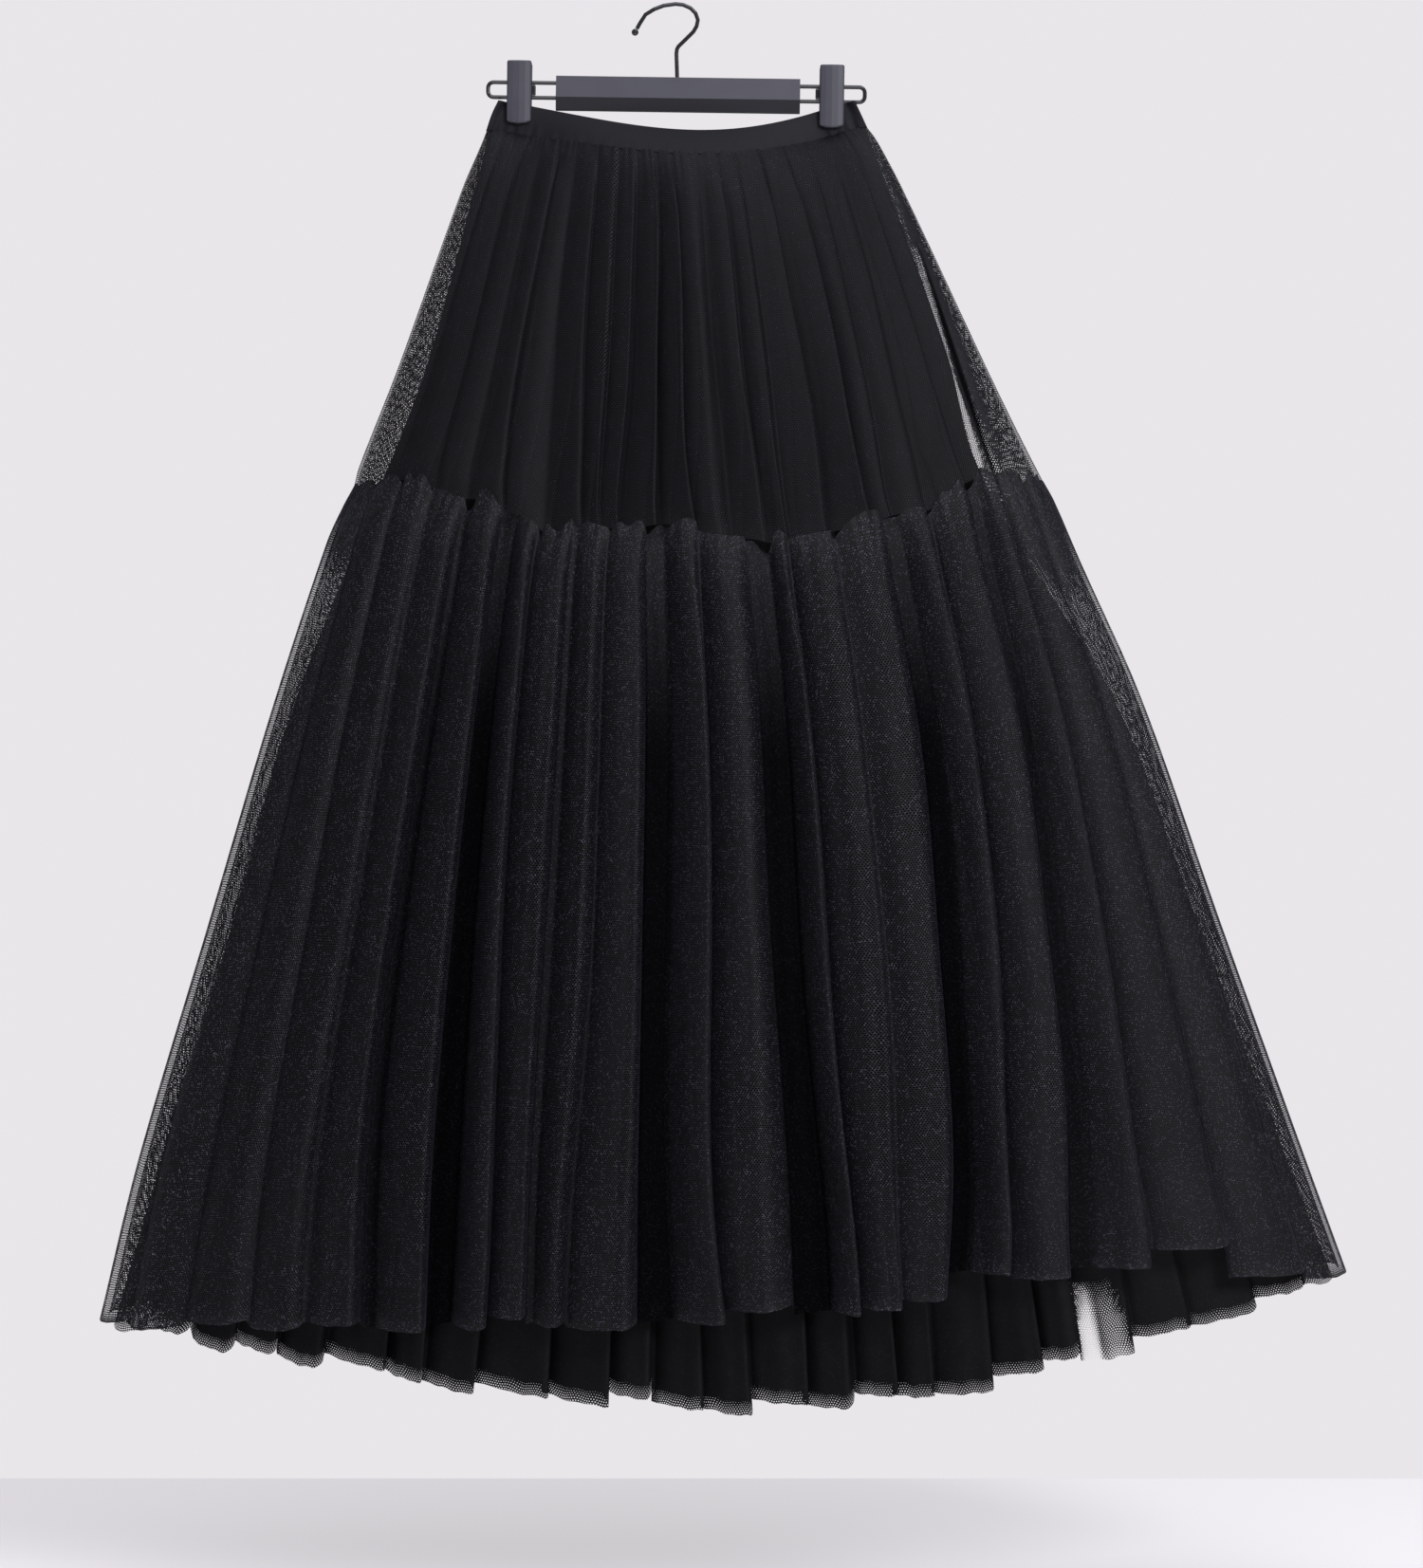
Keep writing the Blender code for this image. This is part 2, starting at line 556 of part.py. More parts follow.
def jaw_mesh(name, outward):
    """One jaw of a clip: a bevelled plate, thinner and rounded at its foot."""
    plate = bmesh.new()
    bmesh.ops.create_cube(plate, size=1.0)
    for vert in plate.verts:
        foot = vert.co.z < 0.0
        thick = JAW_THICK_FOOT if foot else JAW_THICK_TOP
        outer = vert.co.y * outward > 0.0
        vert.co = (
            vert.co.x * CLIP_WIDTH,
            outward * (JAW_INNER_Y + (thick if outer else 0.0)),
            -CLIP_HEIGHT if foot else 0.0,
        )
    across_edges = [
        edge for edge in plate.edges if abs(edge.verts[0].co.x - edge.verts[1].co.x) > JAW_EDGE
    ]
    bmesh.ops.subdivide_edges(plate, edges=across_edges, cuts=3, use_grid_fill=True)
    for vert in plate.verts:
        across = vert.co.x / (0.5 * CLIP_WIDTH)
        if vert.co.z < -0.5 * CLIP_HEIGHT:
            vert.co.z -= JAW_FOOT_ROUND * (1.0 - across * across)
        if abs(vert.co.y) > JAW_INNER_Y + JAW_CROWN:
            vert.co.y += outward * JAW_CROWN * (1.0 - across * across)
    bmesh.ops.recalc_face_normals(plate, faces=plate.faces)
    data = bpy.data.meshes.new(name)
    plate.to_mesh(data)
    plate.free()
    return data


def build_clip(side_name, side, plastic, metal, collection, parent):
    place = (CLIP_CENTRE_X + side * CLIP_HALF_SPACING, 0.0, CLIP_TOP_Z)
    for jaw_name, outward in (("front", -1.0), ("back", 1.0)):
        name = f"clip_{side_name}_{jaw_name}_jaw"
        jaw = add_object(name, jaw_mesh(name, outward), plastic, collection, parent)
        jaw.location = place
        bevel = jaw.modifiers.new("Edge", "BEVEL")
        bevel.width = JAW_EDGE
        bevel.segments = 2
        bevel.limit_method = "ANGLE"
        bevel.angle_limit = JAW_EDGE_ANGLE
    name = f"clip_{side_name}_spring_block"
    block = bmesh.new()
    bmesh.ops.create_cube(block, size=1.0)
    thick = 2.0 * (JAW_INNER_Y - WIRE_CLEARANCE)
    for vert in block.verts:
        vert.co = (vert.co.x * BLOCK_WIDTH, vert.co.y * thick, vert.co.z * BLOCK_HEIGHT)
    data = bpy.data.meshes.new(name)
    block.to_mesh(data)
    block.free()
    spring = add_object(name, data, metal, collection, parent)
    spring.location = (place[0] - side * 0.5 * (BLOCK_WIDTH - CLIP_WIDTH), 0.0, LOOP_CENTRE_Z)
    edge = spring.modifiers.new("Edge", "BEVEL")
    edge.width = BLOCK_EDGE
    edge.segments = 2


def build_hanger(collection, cutters):
    metal = add_material("blackened_steel_wire", (0.010, 0.010, 0.014), 0.30, 1.0)
    plastic = add_material("charcoal_moulded_plastic", (0.105, 0.105, 0.130), 0.55)
    frame = bpy.data.objects.new("hanger_frame", None)
    collection.objects.link(frame)
    frame.rotation_euler = (0.0, HANGER_TILT, 0.0)
    build_hook(metal, collection, frame)
    add_wire("hanger_wire_loop", loop_route(), WIRE_DIAMETER, metal, collection, frame, cyclic=True)
    build_bar(plastic, collection, cutters, frame)
    build_clip("left", -1.0, plastic, metal, collection, frame)
    build_clip("right", 1.0, plastic, metal, collection, frame)


def main():
    for obj in list(bpy.data.objects):
        bpy.data.objects.remove(obj)
    collection = add_collection("tulle_skirt_on_clip_hanger")
    cutters = add_collection("cutters")
    net = add_material("black_nylon_tulle", (0.012, 0.012, 0.016), 0.62)
    satin = add_material("black_polyester_lining", (0.006, 0.006, 0.008), 0.55)
    elastic = add_material("black_woven_band", (0.014, 0.013, 0.017), 0.70)
    build_hanger(collection, cutters)
    build_waistband(elastic, collection)
    build_skirt(net, satin, collection)


main()
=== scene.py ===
"""A black two-tier tulle skirt on a clip hanger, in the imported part's frame (metres).

Each cloth panel is one fine sheet on its solid's form: a loft through the same horizontal
sections, with the folds leaning to one side, and with gathers, creases and uneven hems.
"""

import math
from collections import namedtuple

import bpy
import numpy as np
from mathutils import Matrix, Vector


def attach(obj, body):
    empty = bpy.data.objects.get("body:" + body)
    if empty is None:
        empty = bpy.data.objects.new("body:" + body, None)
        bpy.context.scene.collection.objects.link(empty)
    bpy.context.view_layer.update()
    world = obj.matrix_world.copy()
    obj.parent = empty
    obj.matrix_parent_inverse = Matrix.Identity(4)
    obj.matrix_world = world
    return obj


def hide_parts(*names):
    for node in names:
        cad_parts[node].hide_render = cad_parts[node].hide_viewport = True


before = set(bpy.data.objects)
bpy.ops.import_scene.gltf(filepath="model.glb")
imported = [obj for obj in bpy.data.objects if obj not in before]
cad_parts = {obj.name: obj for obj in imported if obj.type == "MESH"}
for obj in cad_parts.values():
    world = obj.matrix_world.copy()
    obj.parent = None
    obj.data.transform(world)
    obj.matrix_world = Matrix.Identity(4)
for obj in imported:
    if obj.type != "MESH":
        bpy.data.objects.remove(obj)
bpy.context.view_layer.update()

# A horizontal section of a hanging layer. down is the cloth's length from the waist seam,
# left, right, front and back are its outline, end is half the space between the front and
# back cloth at the side seams, pinch is 1 where the clips press them together, and fold is
# the depth of its folds.
Section = namedtuple(
    "Section",
    "down left_x left_z right_x right_z side_y front_y front_z back_y back_z end pinch fold",
)


def table(kind, *rows):
    """A table's rows, with the names of this kind for their columns."""
    return tuple(kind(*row) for row in rows)


BAND = table(
    Section,
    (0.000, -0.1300, -0.0705, 0.1318, -0.0708, -0.0050,
     -0.020, -0.0940, 0.008, -0.0925, 0.0012, 1.0, 0.0),
    (0.012, -0.1350, -0.0805, 0.1360, -0.0795, -0.0030,
     -0.028, -0.1040, 0.011, -0.1010, 0.0015, 1.0, 0.0),
    (0.024, -0.1393, -0.0925, 0.1411, -0.0900, -0.0010,
     -0.0366, -0.1145, 0.0146, -0.1095, 0.0016, 1.0, 0.0),
)
UPPER_TIER = table(
    Section,
    (0.000, -0.1390, -0.0916, 0.1410, -0.0891, -0.001,
     -0.0355, -0.1126, 0.0133, -0.1076, 0.0016, 1.00, 0.0004),
    (0.014, -0.1435, -0.1040, 0.1490, -0.1010, -0.004,
     -0.0425, -0.1270, 0.0170, -0.1220, 0.0075, 0.90, 0.0012),
    (0.050, -0.1570, -0.1375, 0.1675, -0.1375, -0.010,
     -0.0550, -0.1655, 0.0200, -0.1600, 0.0120, 0.60, 0.0034),
    (0.180, -0.2005, -0.2665, 0.2220, -0.2595, -0.032,
     -0.0920, -0.2930, 0.0290, -0.2900, 0.0200, 0.15, 0.0060),
    (0.270, -0.2290, -0.3450, 0.2590, -0.3420, -0.045,
     -0.1120, -0.3790, 0.0325, -0.3750, 0.0220, 0.00, 0.0060),
    (0.290, -0.2330, -0.3625, 0.2675, -0.3610, -0.048,
     -0.1150, -0.3995, 0.0330, -0.3950, 0.0220, 0.00, 0.0030),
)
LOWER_TIER = table(
    Section,
    (0.290, -0.2330, -0.3615, 0.2675, -0.3600, -0.048,
     -0.1155, -0.3985, 0.0330, -0.3940, 0.0220, 0.00, 0.0022),
    (0.302, -0.2400, -0.3740, 0.2750, -0.3730, -0.050,
     -0.1195, -0.4095, 0.0350, -0.4055, 0.0230, 0.00, 0.0070),
    (0.335, -0.2520, -0.4015, 0.2890, -0.4050, -0.057,
     -0.1330, -0.4405, 0.0375, -0.4370, 0.0240, 0.00, 0.0130),
    (0.450, -0.2880, -0.5150, 0.3355, -0.5115, -0.071,
     -0.1720, -0.5500, 0.0410, -0.5450, 0.0260, 0.00, 0.0170),
    (0.610, -0.3350, -0.6785, 0.3905, -0.6715, -0.085,
     -0.2030, -0.6970, 0.0440, -0.6920, 0.0280, 0.00, 0.0200),
    (0.770, -0.3820, -0.8405, 0.4440, -0.8235, -0.096,
     -0.2260, -0.8415, 0.0460, -0.8380, 0.0290, 0.00, 0.0220),
    (0.885, -0.4085, -0.9530, 0.4780, -0.9190, -0.104,
     -0.2380, -0.9385, 0.0470, -0.9380, 0.0300, 0.00, 0.0230),
)
UNDER_LAYER = table(
    Section,
    (0.001, -0.1383, -0.0925, 0.1403, -0.0900, -0.001,
     -0.0345, -0.1135, 0.0125, -0.1085, 0.0011, 1.00, 0.0002),
    (0.016, -0.1400, -0.1060, 0.1445, -0.1030, -0.004,
     -0.0385, -0.1295, 0.0130, -0.1245, 0.0048, 0.90, 0.0006),
    (0.050, -0.1480, -0.1375, 0.1550, -0.1320, -0.010,
     -0.0485, -0.1650, 0.0148, -0.1600, 0.0068, 0.60, 0.0018),
    (0.180, -0.1810, -0.2665, 0.1985, -0.2595, -0.030,
     -0.0830, -0.2920, 0.0195, -0.2900, 0.0130, 0.15, 0.0030),
    (0.290, -0.2150, -0.3625, 0.2240, -0.3565, -0.046,
     -0.1040, -0.3990, 0.0235, -0.3950, 0.0160, 0.00, 0.0035),
    (0.455, -0.2740, -0.5150, 0.3160, -0.5115, -0.069,
     -0.1470, -0.5500, 0.0270, -0.5450, 0.0200, 0.00, 0.0060),
    (0.630, -0.3190, -0.6785, 0.3750, -0.6715, -0.083,
     -0.1740, -0.7210, 0.0285, -0.7160, 0.0240, 0.00, 0.0090),
    (0.790, -0.3670, -0.8405, 0.4310, -0.8235, -0.094,
     -0.1925, -0.8770, 0.0285, -0.8720, 0.0260, 0.00, 0.0120),
    (0.915, -0.4000, -0.9570, 0.4690, -0.9230, -0.102,
     -0.2070, -1.0035, 0.0285, -1.0000, 0.0270, 0.00, 0.0140),
)
LINING = table(
    Section,
    (0.001, -0.1376, -0.0930, 0.1396, -0.0905, -0.001,
     -0.0335, -0.1140, 0.0117, -0.1090, 0.0006, 1.00, 0.0),
    (0.026, -0.1350, -0.1160, 0.1390, -0.1120, -0.005,
     -0.0370, -0.1390, 0.0095, -0.1340, 0.0014, 0.88, 0.0),
    (0.050, -0.1430, -0.1375, 0.1490, -0.1320, -0.010,
     -0.0440, -0.1650, 0.0100, -0.1600, 0.0036, 0.60, 0.0),
    (0.180, -0.1730, -0.2665, 0.1910, -0.2595, -0.030,
     -0.0775, -0.2920, 0.0140, -0.2900, 0.0090, 0.15, 0.0005),
    (0.290, -0.2060, -0.3625, 0.2180, -0.3565, -0.045,
     -0.0965, -0.3980, 0.0175, -0.3950, 0.0120, 0.00, 0.0010),
    (0.455, -0.2550, -0.5150, 0.2945, -0.5115, -0.067,
     -0.1350, -0.5500, 0.0180, -0.5450, 0.0160, 0.00, 0.0020),
    (0.600, -0.2930, -0.6550, 0.3450, -0.6480, -0.080,
     -0.1560, -0.6900, 0.0170, -0.6850, 0.0190, 0.00, 0.0030),
    (0.745, -0.3340, -0.8155, 0.3940, -0.7970, -0.090,
     -0.1740, -0.8320, 0.0160, -0.8270, 0.0200, 0.00, 0.0040),
)

# The folds of each front panel: the crest's place at the top and at the foot, from -1 at the
# left side seam to 1 at the right one, its depth beside the others', which way its crest
# leans (1 to the right), how sharp the crest is, how far its hem hangs below the even one,
# and the share of its width that lies in the dark gap at its left.
Fold = namedtuple("Fold", "top foot depth lean crisp drop gap", defaults=(0.6, 0.0, 0.0, 0.0))

UPPER_FRONT = table(
    Fold,
    (-0.99, -0.98, 0.2, 0.0), (-0.95, -0.92, 0.2, -0.2), (-0.84, -0.79, 0.6, -0.5, 0.1),
    (-0.75, -0.69, 0.3, -0.3, 0.0), (-0.65, -0.62, 0.9, 0.5, 0.0),
    (-0.56, -0.50, 0.5, -0.5, 0.2), (-0.47, -0.37, 1.2, 0.7, 0.2),
    (-0.34, -0.30, 0.8, 0.6, 0.5), (-0.26, -0.24, 0.7, 0.7, 0.6),
    (-0.15, -0.18, 1.5, 1.0, 0.5, 0.0, 0.05), (-0.08, -0.06, 1.5, 0.9, 0.6, 0.0, 0.18),
    (0.02, 0.03, 0.7, 0.3, 0.4), (0.17, 0.15, 1.1, 0.7, 0.2, 0.0, 0.10),
    (0.26, 0.21, 0.7, 0.6, 0.5), (0.36, 0.29, 1.0, 0.8, 0.3),
    (0.50, 0.45, 1.5, 1.0, 0.4, 0.0, 0.06), (0.62, 0.52, 0.8, 0.6, 0.1),
    (0.72, 0.59, 0.4, 0.4, 0.2), (0.83, 0.70, 0.8, 0.9, 0.2),
    (0.91, 0.81, 0.3, 0.5, 0.0), (0.96, 0.92, 0.2, 0.2), (0.99, 0.98, 0.2, 0.0),
)
LOWER_FRONT = table(
    Fold,
    (-0.995, -0.98, 0.3, 0.0), (-0.96, -0.90, 0.6, -0.4, 0.2, 0.002),
    (-0.89, -0.79, 0.7, 0.4, 0.1, -0.003), (-0.80, -0.69, 0.35, 0.6, 0.2, 0.001),
    (-0.71, -0.62, 0.7, 0.7, 0.1, -0.002, 0.10), (-0.61, -0.53, 1.2, 0.9, 0.1, 0.003, 0.16),
    (-0.49, -0.40, 1.3, 0.7, 0.0, 0.002, 0.42), (-0.41, -0.34, 0.3, 0.8, 0.3, -0.005),
    (-0.29, -0.27, 0.9, 0.3, 0.2, 0.001, 0.20), (-0.21, -0.19, 0.3, 0.7, 0.3, 0.004),
    (-0.08, -0.06, 1.3, 0.9, 0.1, 0.003, 0.38), (0.08, 0.05, 0.35, 0.3, 0.4, -0.005),
    (0.19, 0.16, 1.1, 0.8, 0.3, 0.001, 0.56), (0.31, 0.23, 0.45, 0.9, 0.2, -0.002),
    (0.45, 0.31, 0.35, 0.7, 0.1, -0.007), (0.59, 0.40, 1.2, 0.9, 0.2, -0.022, 0.34),
    (0.71, 0.49, 0.4, 0.9, 0.1, -0.017), (0.81, 0.60, 1.1, 0.9, 0.2, -0.020, 0.28),
    (0.89, 0.72, 0.4, 0.8, 0.2, -0.030), (0.96, 0.86, 0.6, 0.8, 0.1, -0.006, 0.12),
    (0.995, 0.97, 0.3, 0.2),
)
UNDER_FRONT = table(
    Fold,
    (-0.985, -0.97, 0.9, 0.2, 0.2, 0.002),
    (-0.94, -0.89, 0.8, 0.6, 0.3, -0.004), (-0.89, -0.82, 0.6, 0.8, 0.3, 0.003),
    (-0.82, -0.75, 0.9, 0.9, 0.4, -0.001), (-0.76, -0.68, 0.8, 0.7, 0.3, 0.003),
    (-0.68, -0.60, 1.0, 1.0, 0.5, -0.003), (-0.58, -0.51, 1.1, 0.8, 0.4, 0.001),
    (-0.50, -0.46, 0.7, 1.0, 0.5, 0.004), (-0.38, -0.35, 1.2, 0.9, 0.5, 0.000),
    (-0.26, -0.22, 1.1, 1.0, 0.4, 0.002), (-0.16, -0.14, 1.0, 0.7, 0.4, -0.005),
    (-0.08, -0.08, 0.8, 0.9, 0.5, 0.001), (0.00, 0.00, 1.0, 0.8, 0.3, 0.004),
    (0.09, 0.08, 0.9, 1.0, 0.5, -0.002), (0.18, 0.16, 1.0, 0.6, 0.4, 0.002),
    (0.27, 0.23, 0.9, 0.9, 0.4, -0.003), (0.36, 0.30, 1.0, 0.8, 0.5, 0.001),
    (0.45, 0.38, 1.1, 1.0, 0.3, 0.004), (0.56, 0.47, 1.2, 0.9, 0.5, -0.002),
    (0.65, 0.55, 0.8, 0.6, 0.3, -0.006), (0.72, 0.61, 0.8, 1.0, 0.5, 0.003),
    (0.80, 0.69, 1.0, 0.8, 0.4, -0.003), (0.88, 0.80, 1.0, 0.9, 0.4, 0.002),
    (0.95, 0.91, 0.8, 0.7, 0.3, -0.002), (0.985, 0.98, 0.9, 0.3, 0.2, 0.001),
)

# Soft troughs that cross the folds: the place and the cloth's length from the waist at both
# ends, half the trough's width, and its depth (a ridge where it is below zero).
Crease = namedtuple("Crease", "start start_down end end_down width depth")

UPPER_CREASES = table(
    Crease,
    (-0.90, 0.010, -0.86, 0.210, 0.010, 0.0016), (-0.79, 0.004, -0.74, 0.120, 0.008, 0.0013),
    (-0.70, 0.030, -0.66, 0.288, 0.009, -0.0014), (-0.60, 0.002, -0.56, 0.150, 0.007, 0.0015),
    (-0.51, 0.060, -0.45, 0.285, 0.010, 0.0018), (-0.42, 0.000, -0.38, 0.110, 0.006, 0.0014),
    (-0.30, 0.020, -0.27, 0.260, 0.006, 0.0013), (-0.21, 0.000, -0.21, 0.160, 0.006, 0.0016),
    (-0.12, 0.040, -0.10, 0.289, 0.007, 0.0017), (-0.03, 0.000, -0.02, 0.200, 0.007, -0.0012),
    (0.07, 0.010, 0.08, 0.280, 0.008, 0.0013), (0.12, 0.000, 0.11, 0.090, 0.006, 0.0012),
    (0.22, 0.030, 0.19, 0.230, 0.006, 0.0015), (0.31, 0.000, 0.27, 0.285, 0.007, -0.0013),
    (0.43, 0.010, 0.36, 0.170, 0.008, 0.0015), (0.55, 0.000, 0.48, 0.288, 0.007, 0.0018),
    (0.67, 0.040, 0.56, 0.240, 0.008, 0.0014), (0.78, 0.000, 0.68, 0.150, 0.009, 0.0012),
    (0.88, 0.020, 0.77, 0.285, 0.009, -0.0014),
)
LOWER_CREASES = table(
    Crease,
    (-0.93, 0.300, -0.86, 0.620, 0.012, 0.0025), (-0.84, 0.292, -0.76, 0.520, 0.010, 0.0022),
    (-0.75, 0.310, -0.66, 0.880, 0.010, -0.0020), (-0.66, 0.292, -0.60, 0.430, 0.008, 0.0026),
    (-0.56, 0.330, -0.48, 0.840, 0.011, 0.0030), (-0.46, 0.292, -0.42, 0.470, 0.008, 0.0024),
    (-0.45, 0.500, -0.39, 0.884, 0.012, -0.0018), (-0.34, 0.292, -0.31, 0.600, 0.008, 0.0024),
    (-0.25, 0.300, -0.22, 0.780, 0.007, 0.0028), (-0.12, 0.292, -0.10, 0.420, 0.008, 0.0022),
    (-0.10, 0.440, -0.07, 0.880, 0.012, 0.0022), (0.02, 0.292, 0.00, 0.520, 0.008, 0.0026),
    (0.13, 0.300, 0.09, 0.860, 0.007, 0.0024), (0.25, 0.292, 0.19, 0.480, 0.008, 0.0028),
    (0.38, 0.300, 0.27, 0.800, 0.008, -0.0020), (0.52, 0.292, 0.37, 0.700, 0.009, 0.0028),
    (0.60, 0.420, 0.43, 0.884, 0.010, 0.0024), (0.66, 0.292, 0.50, 0.580, 0.009, 0.0024),
    (0.77, 0.300, 0.55, 0.870, 0.009, 0.0028), (0.86, 0.292, 0.68, 0.540, 0.010, 0.0026),
    (0.90, 0.400, 0.78, 0.884, 0.014, -0.0020),
)

# Where a layer is sheerer or denser than its even net: the place and cloth length at both
# ends, half its width, the change in the share of the net that threads cover, and how
# sharply it ends at its sides, where 2 is soft.
Patch = namedtuple("Patch", "start start_down end end_down width change edge", defaults=(2,))

# How far the tier seam stands above its even curve, by place across the front, and how far
# above and below the seam this reaches.
SeamLift = namedtuple("SeamLift", "share height width")
SEAM_LIFTS = table(
    SeamLift,
    (-0.83, 0.011, 0.14), (0.82, 0.018, 0.16), (-0.08, 0.008, 0.10), (0.55, 0.004, 0.12),
    (-0.42, -0.011, 0.05), (-0.62, 0.004, 0.05), (0.22, -0.004, 0.06), (0.66, -0.005, 0.04),
)
SEAM_DOWN = 0.290
SEAM_LIFT_REACH = 0.11

# Each section hangs lower towards its middle, in a curve that is a little skewed. The clips
# press the cloth flat from CLIP_GRIP_SHARE outwards, and the band's ears are past the clips.
DROP_SKEW = 0.12
DROP_POWER = 1.4
CLIP_GRIP_SHARE = 0.79
CLIP_GRIP_POWER = 1.5
EAR_START_SHARE = 0.95

# A fold's depth and direction at the side seams, and how far its crest leans and how round
# it is.
SIDE_FOLD_SHARE = 0.22
SIDE_PRESS = 0.25
CREST_SHIFT = 0.30
CREST_POWER = 2.3
# The mesh's rows stand closer together towards the top, where the gathers are.
ROW_CROWDING = 1.15
# Shares of a panel's length: the crests hang over in full from the first on, and the hem's
# steps begin at the second.
HANG_OVER_SHARE = 0.18
HEM_STEP_SHARE = 0.80
HEAD_REACH = 0.007

# The net is denser in the side seam's allowance, under a gathered seam and in the valleys of
# the folds, and fades to its own value at the hem.
SEAM_ALLOWANCE = 0.0016
SEAM_ALLOWANCE_COVER = 0.92
GATHERED_COVER = 0.35
GATHERED_REACH = 0.035
LEAST_COVER = 0.02
HEM_FADE = 0.009
HEM_FADE_POWER = 0.7
VALLEY_COVER = 0.5
# A fold shallower than SHALLOW_FOLD has no painted shade. A valley's painted shade is
# SHADE_AT_SEAM of its full value at the seam, and all of it SHADE_REACH further down.
SHALLOW_FOLD = 0.15
VALLEY_SWELL = 0.30
SHADE_AT_SEAM = 0.40
SHADE_REACH = 0.17

# How far the back's net is turned from the front's, in degrees.
BACK_NET_TURN = 17.0
TURN = 2.0 * math.pi


def smoothstep(low, high, value):
    """0 up to low and 1 from high on, with a soft rise between them."""
    share = np.clip((value - low) / (high - low), 0.0, 1.0)
    return share * share * (3.0 - 2.0 * share)


def sections_along(sections, downs):
    """The section at each cloth length, on a smooth curve through the given ones, as columns."""
    table = np.array(sections)
    keys = table[:, 0]
    start = np.clip(np.searchsorted(keys, downs, side="right") - 1, 0, len(keys) - 2)
    low, high = table[start], table[start + 1]
    before = table[np.maximum(start - 1, 0)]
    after = table[np.minimum(start + 2, len(keys) - 1)]
    span = high[:, :1] - low[:, :1]
    part = (downs[:, None] - low[:, :1]) / span
    left = 1.0 - part
    rise = part * part * (3.0 - 2.0 * part)
    slope_low = (high - before) / (high[:, :1] - before[:, :1])
    slope_high = (after - low) / (after[:, :1] - low[:, :1])
    bends = part * left ** 2 * span * slope_low - part * part * left * span * slope_high
    return Section(*(low + (high - low) * rise + bends).T[:, :, None])


def outline(section, share, front, eared=False):
    """Points on each section's outline at these places, as one array of x, y and z.

    eared holds the band's ends, past the clips, back from the side seam's own depth.
    """
    sine = np.sqrt(np.maximum(0.0, 1.0 - share * share))
    lean = smoothstep(EAR_START_SHARE, 1.0, np.abs(share)) if eared else 1.0
    side_y = section.side_y * lean
    full = section.side_y - section.front_y if front else section.back_y - section.side_y
    end = np.minimum(section.end, full)
    gripped = np.maximum(0.0, 1.0 - (share / CLIP_GRIP_SHARE) ** 2) ** CLIP_GRIP_POWER
    spread = (1.0 - section.pinch) * sine + section.pinch * gripped
    depth = end * np.sqrt(sine) + (full - end) * spread
    skewed = share - DROP_SKEW * (1.0 - share * share)
    drop = np.maximum(0.0, 1.0 - skewed * skewed) ** DROP_POWER
    side_z = section.left_z + 0.5 * (1.0 + share) * (section.right_z - section.left_z)
    low_z = section.front_z if front else section.back_z
    z = side_z + (low_z - 0.5 * (section.left_z + section.right_z)) * drop
    if front:
        near = np.maximum(0.0, 1.0 - np.abs(section.down - SEAM_DOWN) / SEAM_LIFT_REACH) ** 2
        for row in SEAM_LIFTS:
            z = z + near * row.height * np.exp(-(((share - row.share) / row.width) ** 2))
    middle = 0.5 * (section.left_x + section.right_x)
    half = 0.5 * (section.right_x - section.left_x)
    return np.stack([middle + half * share, side_y - depth if front else side_y + depth, z], -1)


def even_folds(count, phase):
    """Folds of uneven width and depth across a panel whose own folds aren't seen.

    Each value swings at a rate of its own from fold to fold, so that no pattern repeats.
    """
    widths = [
        1.0 + 0.30 * math.sin(2.4 * fold + phase) + 0.20 * math.sin(5.1 * fold + 2.0 * phase)
        for fold in range(count)
    ]
    total = sum(widths)
    passed = 0.0
    folds = []
    for fold, width in enumerate(widths):
        place = -math.cos(math.pi * (passed + 0.5 * width) / total)
        passed += width
        depth = 0.95 + 0.25 * math.sin(3.7 * fold + phase)
        lean = 0.2 + 0.7 * math.sin(1.3 * fold + phase)
        crisp = 0.3 + 0.3 * math.sin(2.9 * fold + phase)
        drop = 0.003 * math.sin(4.3 * fold)
        folds.append(Fold(place, place, depth, lean, crisp, drop))
    return tuple(folds)


def even_creases(count, top, foot, depth, phase):
    """Creases like the front's for a panel that isn't seen, uneven in place and length.

    One in five is a ridge, and the others are troughs.
    """
    creases = []
    for crease in range(count):
        shift = 0.35 * math.sin(2.1 * crease + phase)
        place = -0.92 + 1.84 * (crease + shift) / (count - 1)
        start = top + (foot - top) * 0.12 * (1.0 + math.sin(3.3 * crease + phase))
        end = start + (foot - start) * (0.55 + 0.40 * math.sin(1.7 * crease + phase))
        width = 0.008 + 0.003 * math.sin(2.7 * crease)
        ridge = crease % 5 == 3
        deep = depth * (1.0 + 0.4 * math.sin(5.3 * crease)) * (-0.7 if ridge else 1.0)
        creases.append(Crease(place, start, place * 0.97, end, width, deep))
    return tuple(creases)


def crossing(mark, share, down, edge):
    """How strongly a crease or patch acts at each place: 1 on its line, 0 off it.

    edge sets how sharply it ends at its sides, and 2 is soft.
    """
    along = (down - mark.start_down) / (mark.end_down - mark.start_down)
    line = mark.start + (mark.end - mark.start) * np.clip(along, 0.0, 1.0)
    across = np.exp(-(np.abs((share - line) / mark.width) ** edge))
    return across * np.sin(np.pi * np.clip(along, 0.0, 1.0)) ** (1.4 / edge)


